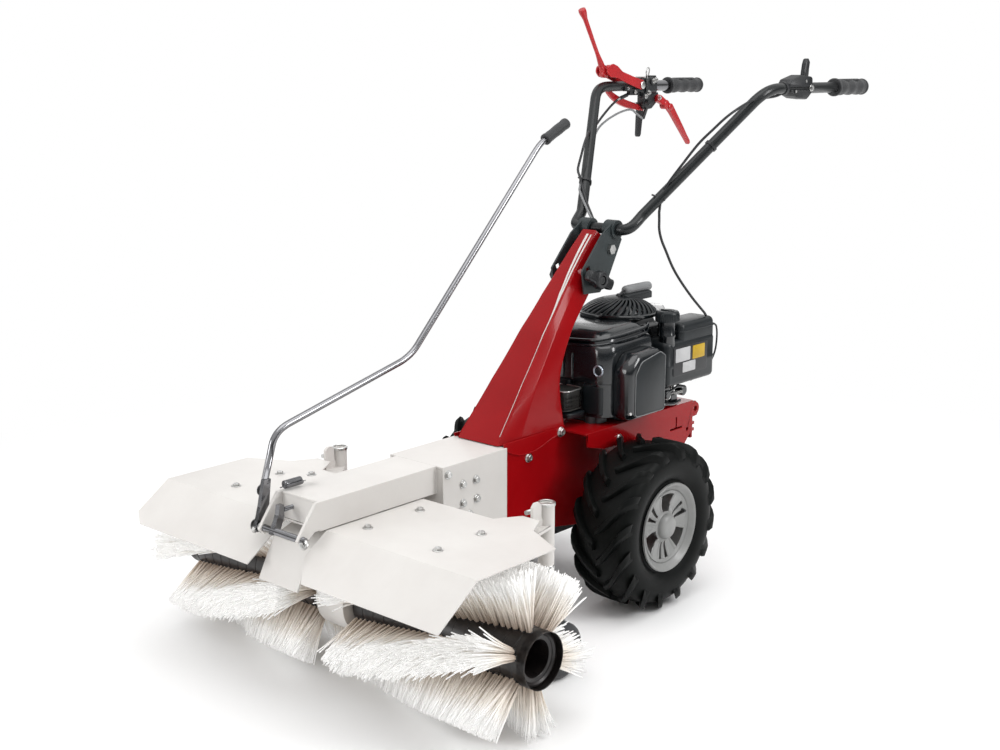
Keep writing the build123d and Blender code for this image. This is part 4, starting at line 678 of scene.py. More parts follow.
for side, s in (("left", 1), ("right", -1)):
    cx = s * 187.5
    g = Geo()
    prof = [(-51.5, 77), (-54, 80), (-55, 86), (-53, 90), (-56.5, 96), (-60.5, 104), (-62.3, 114), (-62.5, 122), (-61.8, 130), (-59.5, 138), (-55, 145.5), (-48, 150)]
    n = 12
    for k in range(n + 1):
        x = -44 + 88 * k / n
        prof.append((x, tyre_r(x)))
    prof += [(-a, r) for a, r in reversed(prof[:12])]
    prof += [(44, 77), (0, 76.5), (-44, 77)]
    g.lathe(prof, (cx, 0, AX), (1, 0, 0), 120, closed=True)
    g.obj("tyre_carcass_" + side, M_TYRE, "wheels", "tyre", angle=50, replaces=["tyre_" + side])
    # chevron lugs, centre end leading when rolling forward
    g = Geo()
    NL = 16
    for sd in (1, -1):
        for k in range(NL):
            base = 2 * math.pi * (k + (0.5 if sd < 0 else 0)) / NL
            rows = []
            for i in range(10):
                t = i / 9
                x = sd * (2.0 + 60.3 * t ** 0.92)
                phi = base + rad(15) - rad(27) * (t ** 1.25)
                top = min(165.0, 165.0 - 2.0 * t - (0 if t < 0.8 else (t - 0.8) * 34))
                bot = tyre_r(x) - 2.5 if t < 0.9 else tyre_r(x) - 9
                if t > 0.94:
                    top -= 6
                wt = (6.2 + 2.2 * t) / 160
                wb = (9.0 + 2.6 * t) / 160
                row = []
                for r_, da in ((bot, -wb), (top - 1.5, -wt), (top, -wt + 0.008), (top, wt - 0.008), (top - 1.5, wt), (bot, wb)):
                    a = phi + da
                    row.append((cx + x, -r_ * math.sin(a), AX + r_ * math.cos(a)))
                rows.append(row)
            # drop along the shoulder
            last = []
            phi = base + rad(15) - rad(29.5)
            for r_, da in ((132, -0.052), (136, -0.045), (138, -0.04), (138, 0.04), (136, 0.045), (132, 0.052)):
                a = phi + da
                last.append((cx + sd * 63.6 if r_ > 134 else cx + sd * 61.0, -r_ * math.sin(a), AX + r_ * math.cos(a)))
            rows.append(last)
            g.loft(rows)
    g.obj("tyre_lugs_" + side, M_TYRE, "wheels", "tyre", angle=60, bevel=1.0, seg=2)
    # rim
    g = Geo()
    prof = [(-59.5, 86), (-56.5, 87), (-53, 83), (-51.5, 77), (-40, 72), (40, 72), (51.5, 77), (54, 84), (57.5, 87), (60.5, 86.4), (61.2, 84.5), (59.0, 79.5), (55.5, 77.5),
            (54, 74), (50.5, 71.5), (46, 70.6), (40, 70), (-40, 70), (-54, 76), (-58, 82)]
    g.lathe([(s * a, r) for a, r in prof], (cx, 0, AX), (1, 0, 0), 96, closed=True)
    g.lathe([(s * -20, 22), (s * 38, 22), (s * 44, 26), (s * 44, 13), (s * -20, 13)], (cx, 0, AX), (1, 0, 0), 40, closed=True)
    g.obj("rim_barrel_" + side, M_RIM, "wheels", "rim_grey", angle=40, replaces=["rim_" + side])
    # disc with three wide windows and three pairs of slots
    NT = 240
    rr = [71.5, 69.5, 67, 65.0, 63.5, 61, 56, 50, 44, 38, 33.5, 31, 28, 25, 22.5]

    def disc_x(r, th):
        if r > 66:
            return 50 - (71.5 - r) * 0.55
        u = (66 - r) / 44
        x = 47.0 - 5.5 * math.sin(min(1, u * 1.25) * math.pi * 0.5) + 7.5 * max(0, (40 - r) / 20) ** 2
        # raised radial ribs beside each window
        a = (math.degrees(th) - 85) % 120
        for c, wd, h in ((22, 4.0, 1.8), (98, 4.0, 1.8), (60, 4.5, 1.6), (44, 4, 1.2), (76, 4, 1.2)):
            dd = min(abs(a - c), 120 - abs(a - c))
            if dd < wd and 30 < r < 65:
                x += h * (0.5 + 0.5 * math.cos(math.pi * dd / wd))
        return x

    vs, fs, keep = [], [], {}
    for i, r in enumerate(rr):
        for k in range(NT):
            th = 2 * math.pi * (k / NT) * (s)
            vs.append((cx + s * disc_x(r, 2 * math.pi * k / NT), r * math.cos(th), AX + r * math.sin(th)))
    for i in range(len(rr) - 1):
        rm = (rr[i] + rr[i + 1]) / 2
        for k in range(NT):
            a = (360 * (k + 0.5) / NT - 85) % 120
            a = a if a <= 60 else a - 120
            b_ = abs(abs(a) - 60) if abs(a) > 30 else 99
            wide = abs(a) < 19.5 + (48 - rm) * 0.05 and 28 < rm < 65.0
            c1 = abs(abs(a) - 50.0) < 4.3 + (rm - 36) * 0.01 and 31 < rm < 65
            if wide or c1:
                continue
            fs.append((i * NT + k, i * NT + (k + 1) % NT, (i + 1) * NT + (k + 1) % NT, (i + 1) * NT + k))
    g = Geo()
    g.add(vs, fs)
    o = g.obj("rim_disc_" + side, M_RIM, "wheels", "rim_grey", angle=50, fixn=True)
    m = o.modifiers.new("solid", "SOLIDIFY")
    m.thickness, m.offset = 5.0 * MM, 0
    m = o.modifiers.new("bevel", "BEVEL")
    m.width, m.segments, m.limit_method, m.angle_limit, m.harden_normals = 0.7 * MM, 2, "ANGLE", rad(50), True
    # hub cap
    g = Geo()
    g.lathe([(s * 40, 26.5), (s * 47.5, 25.5), (s * 52, 24.6), (s * 55.5, 23.4), (s * 58.0, 21), (s * 59.9, 17), (s * 60.8, 12), (s * 61.3, 6), (s * 61.4, 0)], (cx, 0, AX), (1, 0, 0), 48)
    g.obj("hub_cap_" + side, M_RIM, "wheels", "rim_grey", angle=40)
    # valve stem
    g = Geo()
    a = rad(20)
    g.tube([(cx + s * 46, 60 * math.cos(a), AX + 60 * math.sin(a)), (cx + s * 58, 56 * math.cos(a), AX + 56 * math.sin(a))], 2.6, 10)
    g.obj("valve_" + side, M_RUB, "wheels", "rubber", bevel=0.5)

# ------------------------------------------------------------------ engine
CY = 156.0


def hpoly(d, r=26, seg=7):
    pts = [(-110 + d, -30 + d), (112 - d, -30 + d), (112 - d, 138 - d), (52 - d, 138 - d), (52 - d, 262 - d), (-110 + d, 262 - d)]
    return round_poly(pts, [34, 30, 24, 8, 34, 40], seg)


g = Geo()
rings = []
for z, d, zf in ((424, 3.0, 0), (425, 0.6, 0), (440, 0.0, 0), (470, 0.6, 0), (488, 1.6, 0), (500, 3.5, 0), (503, 5.0, 0), (505.5, 7.6, 0), (507, 11, 0), (509, 12.0, 0), (514, 13.5, 0), (521, 17.5, 0), (527, 24, 0), (530.5, 33, 0), (531.6, 44, 0)):
    ring = []
    for x, y in hpoly(d):
        zz = z - max(0.0, (60 - y)) * 0.10 * max(0, (z - 424) / 108)
        ring.append((x, y, zz))
    rings.append(ring)
g.loft(rings)
g.obj("blower_shell", M_ENG, "chassis", "engine_plastic", angle=60, replaces=["blower_housing"])
# bright arched rim under the starter cover
g = Geo()
arc = [(-70, -20), (-20, -26), (30, -27.5), (70, -25), (92, -14), (103, 8), (108, 40), (108, 80), (104, 112), (92, 128)]
P = spline([(x * 0.985, y + 2, 489 + 26 * (k / 9.0) ** 0.8) for k, (x, y) in enumerate(arc)], 5)
g.tube(P, 2.4, 10)
P = spline([(x * 0.94, y + 7, 497 + 27 * (k / 9.0) ** 0.8) for k, (x, y) in enumerate(arc)], 5)
g.tube(P, 3.4, 10)
g.obj("blower_rim", M_ENG, "chassis", "engine_plastic")
# front left corner skirt beside the muffler
g = Geo()
out = []
path = [(56, -30), (88, -30), (99, -27), (108, -17), (112, -4), (112, 16)]
path = [tuple(p) for p in spline([(a, b, 0) for a, b in path], 5)]
rings = []
for z in (360, 372, 400, 426):
    ring = [(p[0], p[1], z) for p in path] + [(p[0] * 0.965, p[1] + 3.0, z) for p in reversed(path)]
    rings.append(ring)
g.loft(rings)
g.obj("blower_skirt", M_ENG, "chassis", "engine_plastic", bevel=1.0)
# generic ring badge on the front
g = Geo()
c = V(92, -30.5, 453)
g.lathe([(0, 8.2), (1.8, 8.6), (2.6, 9.6), (2.6, 10.8), (1.8, 11.6), (0, 11.8)], c, (0, -1, 0), 40, closed=True)
g.obj("badge_ring", M_RING, "chassis", "engine_plastic", angle=60)
g = Geo()
g.lathe([(-1, 8.4), (1.0, 8.2), (1.4, 5.0), (2.2, 4.2), (2.4, 0)], c, (0, -1, 0), 36)
g.obj("badge_disc", M_ENG2, "chassis", "engine_plastic", angle=40)
# vertical flutes on the front
g = Geo()
for x in (-60, -38, -16, 6, 28):
    g.tube([(x, -30.5, 430), (x, -30.8, 470), (x, -29.5, 480)], 1.8, 8)
g.obj("blower_flutes", M_ENG, "chassis", "engine_plastic")

# starter cover: dome with slanted slots
g = Geo()
NT = 192
prof = [(79.5, 534.5), (77, 539), (73.5, 543), (66, 549), (58, 554), (50, 557.8), (42, 560.6), (36, 562.4), (32, 563.2), (28, 564.4), (22, 565.8), (12, 566.8), (3, 567)]
vs, fs = [], []
for i, (r, z) in enumerate(prof):
    sw = rad(34) * (1 - (r - 28) / 52) if r > 28 else rad(34)
    for k in range(NT):
        th = 2 * math.pi * k / NT + sw
        lift = 0.0
        vs.append((r * math.cos(th), CY + r * math.sin(th), z))
for i in range(len(prof) - 1):
    rm = (prof[i][0] + prof[i + 1][0]) / 2
    for k in range(NT):
        if 33 < rm < 76 and k % 6 in (1, 2, 3) :
            continue
        fs.append((i * NT + k, i * NT + (k + 1) % NT, (i + 1) * NT + (k + 1) % NT, (i + 1) * NT + k))
fs.append(tuple((len(prof) - 1) * NT + k for k in range(NT)))
g.add(vs, fs)
o = g.obj("starter_dome", M_ENG2, "chassis", "engine_plastic", angle=50, replaces=["starter_cover"])
m = o.modifiers.new("solid", "SOLIDIFY")
m.thickness, m.offset = 3.0 * MM, -1
g = Geo()
g.lathe([(530, 80), (533, 81.5), (536.5, 81.5), (538, 79.5), (537, 77), (532, 76.5)], (0, CY, 0), (0, 0, 1), 72, closed=True)
g.lathe([(528, 0), (528, 74), (540, 72), (552, 40), (556, 26), (556, 0)], (0, CY, 0), (0, 0, 1), 48)
g.obj("starter_rim", M_ENG, "chassis", "engine_plastic", angle=40)
# boss that the pull handle rests in
g = Geo()
g.loft([[(x, y, z) for x, y in round_poly([(-8, 150), (24, 150), (26, 240), (-10, 240)], 7, 4)] for z in (556, 568)] +
       [[(8 + (x - 8) * 0.86, 195 + (y - 195) * 0.95, 571) for x, y in round_poly([(-8, 150), (24, 150), (26, 240), (-10, 240)], 7, 4)]])
g.obj("handle_rest", M_ENG2, "chassis", "engine_plastic", bevel=1.2)
# pull handle: hollow grip with a thin neck
g = Geo()
prof = [(0, 6.2), (2, 8.4), (5, 9.3), (16, 9.5), (40, 9.1), (64, 9.4), (80, 9.5), (85, 9.0), (86.5, 7.6), (85.5, 6.4), (60, 5.8), (59, 0)]
g.lathe([(0, 0)] + prof, (8, 162, 577.5), (0, 1, 0), 32)
for a in (0, 90, 180, 270):
    g.tube([(8 + 9.2 * math.cos(rad(a)), 172, 577.5 + 9.2 * math.sin(rad(a))), (8 + 9.2 * math.cos(rad(a)), 236, 577.5 + 9.2 * math.sin(rad(a)))], 0.9, 6)
g.obj("pull_grip", M_HGREY, "starter_grip", "handle_grey", replaces=["recoil_handle"])
g = Geo()
g.tube(spline([(8, 162.5, 577.5), (8, 152, 574), (8, 144, 566), (8, 142, 556)], 3), 2.4, 10)
o = g.obj("pull_cord", M_PLA, (1,), "black_plastic")
join(o)

# air filter cover
g = Geo()
AF = [(-8, 356), (112, 356), (112, 474), (88, 490), (20, 486), (-8, 462)]
rings = []
for x, d in ((112, 2), (116, 0), (138, 0), (145, 1.5), (149.5, 5), (152, 10)):
    cyy, czz = 52, 420
    ring = []
    for y, z in round_poly(AF, [16, 12, 16, 26, 26, 34], 6):
        ring.append((x, cyy + (y - cyy) * (1 - d / 60), czz + (z - czz) * (1 - d / 66)))
    rings.append(ring)
g.loft(rings)
g.obj("filter_shell", M_ENG, "chassis", "engine_plastic", angle=60, replaces=["air_filter_cover"])
PANEL = [(8, 364), (105, 363), (106, 472), (88, 482), (26, 470), (8, 446)]
g = Geo()
pp = round_poly(PANEL, [10, 6, 8, 12, 18, 12], 6)
g.loft([[(150.5, y, z) for y, z in pp], [(152.6, y, z) for y, z in pp], [(153.6, 62 + (y - 62) * 0.965, 420 + (z - 420) * 0.972) for y, z in pp]])
g.obj("filter_panel", M_ENG2, "chassis", "engine_plastic", angle=60)
g = Geo()
g.tube([(153.0, y, z) for y, z in pp], 0.8, 8, closed=True)
g.obj("filter_panel_edge", M_HGREY, "chassis", "engine_plastic")
g = Geo()
for (y, z) in ((-1, 372),):
    g.bolt((146.0, y, z), (1, -0.3, 0), 3.4, 3, True, 4.6)
g.obj("filter_screws", M_ZINC, "chassis", "zinc_steel")

# fuel tank, shoulder, neck and ribbed cap
g = Geo()


def slab(cx, cy, w, h, r, zs):
    return [[(x, y, z) for x, y in rrect(cx, cy, w - 2 * d, h - 2 * d, max(2, r - d * 0.5), 6)] for z, d in zs]


g.loft(slab(92, 238, 70, 176, 14, ((392, 5), (395, 1.5), (400, 0), (428, 0), (430, -1.2), (436, -1.2), (438, 0), (474, 0), (480, 1.5), (484, 5))))
g.obj("tank_body", M_ENG2, "chassis", "engine_plastic", angle=50, replaces=["fuel_tank"])
g = Geo()
g.loft(slab(93, 262, 66, 124, 12, ((480, 0), (484, 0), (508, 0.4), (513, 2), (516.5, 5), (518, 9))))
g.tube([(x, y, 500) for x, y in rrect(93, 262, 66.4, 124.4, 12, 6)], 1.3, 8, closed=True)
g.obj("tank_shoulder", M_ENG2, "chassis", "engine_plastic", angle=50)
g = Geo()
g.lathe([(470, 17), (476, 17), (492, 16), (494, 17.2), (498, 17.2), (500, 16), (524, 15.6), (525, 12.6), (500, 12.5), (486, 0)], (110, 171, 0), (0, 0, 1), 40)
g.obj("tank_neck", M_ENG, "chassis", "engine_plastic", angle=40)
g = Geo()
g.lathe([(513, 0), (513, 12.2), (525.4, 12.3), (525.4, 23.6), (527, 24.0), (540, 24), (544.5, 23), (546.6, 20.5), (547.2, 16), (546.4, 13), (546.2, 0)], (110, 171, 0), (0, 0, 1), 72)
for k in range(36):
    a = 2 * math.pi * k / 36
    g.tube([(110 + 24 * math.cos(a), 171 + 24 * math.sin(a), 527.5), (110 + 24 * math.cos(a), 171 + 24 * math.sin(a), 541)], 0.8, 6)
g.box((110, 171, 547.0), (30, 5, 3))
g.obj("tank_cap_ribbed", M_ENG2, "tank_cap", "engine_plastic", angle=40, replaces=["fuel_cap"])
# side panel of the tank, raised with a rounded frame, left blank
g = Geo()
pp = rrect(232, 442, 122, 62, 6, 5)
g.loft([[(126.5, y, z) for y, z in pp], [(128.0, y, z) for y, z in pp], [(128.6, 232 + (y - 232) * 0.975, 442 + (z - 442) * 0.96) for y, z in pp]])
g.obj("tank_panel", M_PLA, "chassis", "engine_plastic", angle=60)
# three blank plates on the panel
for nm, (cy, cz, w_, h_), m_ in (("white", (203, 454, 52, 28), M_LABEL), ("small", (226, 426.5, 46, 21), M_LABEL), ("yellow", (260, 453, 44, 28), M_YELLOW)):
    g = Geo()
    pp = rrect(cy, cz, w_, h_, 2.0, 4)
    g.loft([[(128.3, y, z) for y, z in pp], [(129.1, y, z) for y, z in pp], [(129.3, cy + (y - cy) * 0.985, cz + (z - cz) * 0.975) for y, z in pp]])
    g.obj("tank_plate_" + nm, m_, "chassis", "engine_plastic", angle=60)
# light disc of the rear cover behind the cap
g = Geo()
g.lathe([(520, 0), (520, 32), (529, 33), (534, 30.5), (536.5, 24), (537.5, 10), (537.6, 0)], (8, 252, 0), (0, 0, 1), 48)
g.obj("rear_disc", M_DISC, "chassis", "engine_plastic", angle=50)

# muffler with its perforated guard
g = Geo()
rings = slab(30, -63, 56, 52, 12, ((374, 4), (377, 1), (382, 0), (408, 0), (414, 2), (417, 6), (418, 10)))
g.loft(rings)
g.obj("muffler_can", M_MUF, "chassis", "muffler_metal", angle=50, replaces=["muffler"])
g = Geo()
for zz in (386, 394, 402):
    for k in range(7):
        g.lathe([(0, 2.6), (1.2, 2.6), (1.2, 1.5), (0, 1.5)], (6 + 8 * k, -89.0, zz), (0, -1, 0), 12, closed=True)
    for k in range(6):
        g.lathe([(0, 2.6), (1.2, 2.6), (1.2, 1.5), (0, 1.5)], (58.0, -84 + 8 * k, zz), (1, 0, 0), 12, closed=True)
pp = rrect(30, -63, 60, 56, 13, 6)
g.tube([(x, y, 378) for x, y in pp], 1.6, 8, closed=True)
g.obj("muffler_guard", M_MUF, "chassis", "muffler_metal", angle=50)
g = Geo()
g.tube([(x, y, 416) for x, y in pp], 1.5, 8, closed=True)
g.obj("muffler_lip", M_ZINC, "chassis", "muffler_metal")
# heat shield below the muffler and the black apron beside it
g = Geo()
g.loft([[(x, y, z) for x, y in rrect(34, -60, w_, h_, 10, 4)] for z, w_, h_ in ((362, 60, 44), (364, 66, 50), (371, 68, 52), (373, 64, 48))])
g.loft([[(x, y, z) for x, y in rrect(-30, -26, 108, 22, 8, 4)] for z in (366, 426)])
g.loft([[(x, y, z) for x, y in rrect(76, -22, 50, 20, 8, 4)] for z in (366, 420)])
g.obj("engine_apron", M_ENG2, "chassis", "engine_plastic", bevel=1.0)
# base flange feet and its screws, governor linkages between the tank and the deck
g = Geo()
for (x, y) in ((66, -18), (84, 40), (-84, 40), (84, 232), (-84, 232), (-66, -18)):
    g.lathe([(345, 12), (358, 11), (360, 8), (360, 0)], (x, y, 0), (0, 0, 1), 24)
g.loft([[(x, y, 346) for x, y in rrect(56, -6, 66, 30, 8)], [(x, y, 362) for x, y in rrect(56, -6, 62, 26, 8)], [(x, y, 366) for x, y in rrect(52, 0, 40, 16, 6)]])
g.obj("engine_feet", M_BLOCK, "chassis", "engine_metal", angle=50)
g = Geo()
for (x, y) in ((66, -18), (84, 40), (-84, 40), (84, 232), (-84, 232), (-66, -18)):
    g.bolt((x, y, 360), (0, 0, 1), 5.5, 5)
g.tube(spline([(40, -22, 363), (60, -24, 366), (78, -22, 364), (92, -14, 360)], 4), 2.2, 8)
g.obj("engine_foot_bolts", M_ZINC, "chassis", "zinc_steel")
g = Geo()
g.box((104, 178, 372), (4, 60, 34))
g.box((100, 205, 356), (18, 20, 22))
g.lathe([(0, 9), (20, 9), (22, 7), (22, 0)], (104, 160, 376), (1, 0, 0), 24)
g.lathe([(0, 11), (16, 11), (18, 8), (18, 0)], (98, 232, 372), (1, 0, 0), 24)
g.tube(spline([(112, 150, 388), (116, 176, 380), (114, 206, 384), (112, 238, 378)], 4), 2.6, 8)
g.tube(spline([(110, 140, 352), (118, 160, 356), (118, 190, 352), (110, 224, 352)], 4), 3.4, 8)
g.tube(spline([(116, 150, 352), (118, 146, 372), (112, 150, 390)], 4), 3.0, 8)
g.obj("carburettor_parts", M_ENG, "chassis", "engine_plastic", bevel=0.8)
g = Geo()
g.bolt((106, 184, 366), (1, 0, 0), 5.2, 4.5)
g.bolt((106, 158, 358), (1, 0, 0), 3.6, 3)
g.bolt((106, 200, 382), (1, 0, 0), 3.2, 3)
hp = []
for k in range(120):
    a = 2 * math.pi * k / 10
    hp.append((114 + 3.2 * math.cos(a), 196 + 30 * k / 120, 372 + 3.2 * math.sin(a)))
g.tube(hp, 0.6, 6)
g.tube([(114, 186, 372), (114, 196, 372)], 0.7, 6)
g.tube([(114, 226, 372), (114, 236, 374)], 0.7, 6)
g.obj("governor_bits", M_ZINC, "chassis", "zinc_steel")
# control cable loop at the rear of the engine
g = Geo()
g.tube(spline([(122, 318, 502), (124, 330, 496), (122, 338, 470), (122, 330, 436), (118, 306, 408), (110, 262, 388)], 5), 2.0, 10)
g.obj("cable_loop", M_PLA, "chassis", "black_plastic")


# ------------------------------------------------------------------ brush
BY, BZ, BR = -585.0, 142.0, 141.5
g = Geo()
for s in (1, -1):
    prof = [(38, 30.2), (38, 44), (39.5, 45.6), (42, 46)]
    x = 42.0
    while x < 398:
        prof += [(x, 46), (x + 22, 46), (x + 22.6, 45.3), (x + 24.2, 45.3), (x + 24.8, 46)]
        x += 25.2
    prof += [(403, 46), (405, 44.4), (405, 31.5), (404, 30.2)]
    g.lathe([(s * a, r) for a, r in prof], (0, BY, BZ), (1, 0, 0), 64, closed=True)
    # end boss with webs to the bore
    g.lathe([(s * a, r) for a, r in ((405, 44), (408.5, 43.2), (409.0, 40), (406, 37), (398, 36.5), (398, 44))], (0, BY, BZ), (1, 0, 0), 64, closed=True)
    for k in range(6):
        a = 2 * math.pi * k / 6 + 0.3
        g.box((s * 396, 0, 0), (8, 3.4, 15), Matrix.Translation((0, BY, BZ)) @ Matrix.Rotation(a, 4, "X") @ Matrix.Translation((0, 0, 37)))
g.obj("core_sleeves", M_CORE, "brush", "core_plastic", angle=40, replaces=["brush_cores"])

FINE = 1.0
for half, s in (("left", 1), ("right", -1)):
    verts, faces, tip, shade = [], [], [], []
    base = Geo()
    NTUFT = 30
    for k in range(6):
        for row in (0, 1):
            for i in range(NTUFT):
                ax = 46 + (352.0) * (i + 0.5 * row) / (NTUFT - 0.5)
                x0 = s * ax
                # both halves twist the same way round
                th = rad(-25 + 60 * k + 60 * (405 - x0) / 365.0)
                th += (row - 0.5) * rad(11)
                # foot of the tuft in the sleeve
                for q in range(19):
                    fa, fr = rng.random() * 2 * math.pi, 3.4 * math.sqrt(rng.random())
                    fx, ft = fr * math.cos(fa), fr * math.sin(fa)
                    spread = 2.3 + rng.random() * 0.5
                    lean = rng.gauss(0, 1.3)
                    R1 = BR - rng.random() * 4.5
                    tw = rng.gauss(0, 1.6) + (row - 0.5) * 1.5
                    tone = 0.93 + 0.13 * rng.random()
                    pts = []
                    for j in range(4):
                        u = j / 3
                        r = 44.0 + (R1 - 44.0) * u
                        e = 1 + spread * u ** 1.15
                        dx = fx * e + lean * u * u * 2.2
                        dt = ft * e * 1.15 + tw * u * u * 3.2 + 4.0 * u * u
                        a = th + dt / r
                        pts.append(Vector((x0 + dx, BY - r * math.cos(a), BZ - r * math.sin(a))))
                    b0 = len(verts)
                    for j in range(4):
                        t = (pts[min(3, j + 1)] - pts[max(0, j - 1)]).normalized()
                        e1 = t.cross(Vector((1, 0, 0)))
                        e1 = e1.normalized() if e1.length > 0.05 else Vector((0, 1, 0))
                        e2 = t.cross(e1)
                        rr_ = 1.75 if j < 3 else 1.15
                        for m_ in range(3):
                            a = 2 * math.pi * m_ / 3 + fa
                            verts.append((pts[j] + OFF + (e1 * math.cos(a) + e2 * math.sin(a)) * rr_) * MM)
                            tip.append(j / 3)
                            shade.append(tone)
                    for j in range(3):
                        for m_ in range(3):
                            n_ = (m_ + 1) % 3
                            faces.append((b0 + 3 * j + m_, b0 + 3 * j + n_, b0 + 3 * j + 3 + n_, b0 + 3 * j + 3 + m_))
                    faces.append((b0 + 9, b0 + 10, b0 + 11))
                # raised collar round the foot
                c_ = Vector((x0, BY - 45.2 * math.cos(th), BZ - 45.2 * math.sin(th)))
                d_ = Vector((0, -math.cos(th), -math.sin(th)))
                base.lathe([(0, 5.6), (1.8, 5.4), (2.4, 4.2), (1.4, 3.9)], c_, d_, 8)
    me = bpy.data.meshes.new("bristles_" + half)
    me.from_pydata([tuple(p) for p in verts], [], faces)
    b_ = bmesh.new()
    b_.from_mesh(me)
    bmesh.ops.recalc_face_normals(b_, faces=b_.faces)
    b_.to_mesh(me)
    b_.free()
    me.polygons.foreach_set("use_smooth", [True] * len(me.polygons))
    for nm, dat in (("tip", tip), ("shade", shade)):
        at = me.attributes.new(nm, "FLOAT", "POINT")
        at.data.foreach_set("value", dat)
    o = bpy.data.objects.new("bristle_tufts_" + half, me)
    bpy.context.scene.collection.objects.link(o)
    me.materials.append(M_BRIS)
    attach(o, "brush")
    if half == "left":
        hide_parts("bristles")
    base.obj("tuft_collars_" + half, M_CORE, "brush", "core_plastic", angle=60)

# ------------------------------------------------------------------ handlebar trim
def grip(name, x, body, sgn):
    g = Geo()
    prof = [(0, 11.4), (0, 17.6), (1.5, 19), (5.5, 19), (7, 17.6), (8, 15.6)]
    for k in range(34):
        t = k / 33
        y = 9 + 113 * t
        w = 16.2 + 1.0 * math.sin(2 * math.pi * (t * 3.0) - 1.4) * (1 if t < 0.85 else 0.3)
        prof.append((y, w))
    prof += [(123, 17.2), (126.5, 17.4), (129, 16.2), (130.5, 12), (131, 6), (131, 0)]
    g.lathe(prof, (x, 615, 981), (0, 1, 0), 40)
    # fine ribs along the upper side
    for k in range(-4, 5):
        a = rad(90 + k * 8)
        g.tube([(x + 16.6 * math.cos(a), y, 981 + 16.6 * math.sin(a)) for y in (640, 660, 690, 720)], 0.9, 6)
    g.obj(name, M_RUB, body, "rubber", angle=45)


grip("grip_left", 214, "bar", 1)
grip("grip_right", -214, "bar", -1)
o = NODES["hand_grips"]
last = bpy.data.objects["grip_left"]
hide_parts("hand_grips")

# throttle control
g = Geo()
rings = []
for x, d in ((199, 4), (201, 1.2), (204, 0), (224, 0), (227, 1.2), (229, 4)):
    top = [(408, 990), (416, 999), (455, 1008), (500, 1004), (500, 983), (408, 983)]
    rings.append([(x, 455 + (y - 455) * (1 - d / 60), 992 + (z - 992) * (1 - d / 30)) for y, z in round_poly(top, [4, 8, 20, 6, 2, 2], 5)])
g.loft(rings)
rings = []
for x, d in ((200, 4), (202, 1.2), (205, 0), (223, 0), (226, 1.2), (228, 4)):
    bot = [(410, 979.5), (500, 979.5), (500, 972), (482, 958), (440, 961), (425, 966)]
    rings.append([(x, 455 + (y - 455) * (1 - d / 60), 971 + (z - 971) * (1 - d / 26)) for y, z in round_poly(bot, [3, 2, 4, 12, 14, 6], 5)])
g.loft(rings)
g.lathe([(-2, 12.6), (4, 14), (8, 12.6)], (214, 404, 981), (0, 1, 0), 28)
g.obj("throttle_case", M_PLA, "bar", "black_plastic", angle=55, replaces=["throttle_housing"])
g = Geo()
g.bolt((229, 492, 981), (1, 0, 0), 5.6, 3.4, True, 7)
g.bolt((229, 430, 975), (1, 0, 0), 3.2, 2.2, False)
g.bolt((229, 470, 995), (1, 0, 0), 3.0, 2.0, False)
g.obj("throttle_screws", M_ZINC, "bar", "zinc_steel")
g = Geo()
rings = []
for x, d in ((209.5, 1.5), (211, 0), (217, 0), (218.5, 1.5)):
    pl = [(478, 996), (494, 996), (499, 1006), (500, 1020), (503, 1034), (497, 1040.5), (489, 1040), (484, 1030), (480, 1012)]
    rings.append([(x, 490 + (y - 490) * (1 - d / 14), 1017 + (z - 1017) * (1 - d / 26)) for y, z in round_poly(pl, [4, 4, 8, 10, 4, 4, 3, 10, 8], 5)])
g.loft(rings)
g.obj("throttle_thumb", M_PLA, "throttle", "black_plastic", angle=60, bevel=0.5, replaces=["throttle_lever"])

# clutch and reverse controls on the right-hand side
g = Geo()
rings = []
for y, w, h in ((512, 32, 34), (514, 34, 36), (552, 34, 36), (554, 32, 34)):
    rings.append([(x, y, z) for x, z in rrect(-214, 981, w, h, 8, 6)])
g.loft(rings)
blk = [(512, 966), (512, 940), (524, 928), (544, 930), (566, 946), (570, 966)]
g.loft([[(x, 540 + (y - 540) * k, 948 + (z - 948) * k) for y, z in round_poly(blk, [3, 6, 8, 8, 8, 3], 5)] for x, k in ((-224, 0.93), (-222.5, 1), (-205.5, 1), (-204, 0.93))])
g.loft([[(x, y, z) for x, z in rrect(-214, 981, 25, 33, 6, 5)] for y in (485, 513)])
g.obj("clamp_body", M_PLA, "bar", "black_plastic", angle=50, bevel=0.5, replaces=["control_clamp"])
g = Geo()
g.bolt((-197, 546, 994), (1, 0, 0), 4.4, 3.4, True, 6)
g.bolt((-197, 520, 966), (1, 0, 0), 4.4, 3.4, True, 6)
g.lathe([(-6, 4.6), (0, 4.6), (1.5, 8.4), (4.5, 8.4), (5.5, 6.6), (5.5, 0)], (-199, 495, 983), (1, 0, 0), 28)
g.bolt((-196, 560, 954), (1, 0, 0), 4.6, 3.4, True, 6)
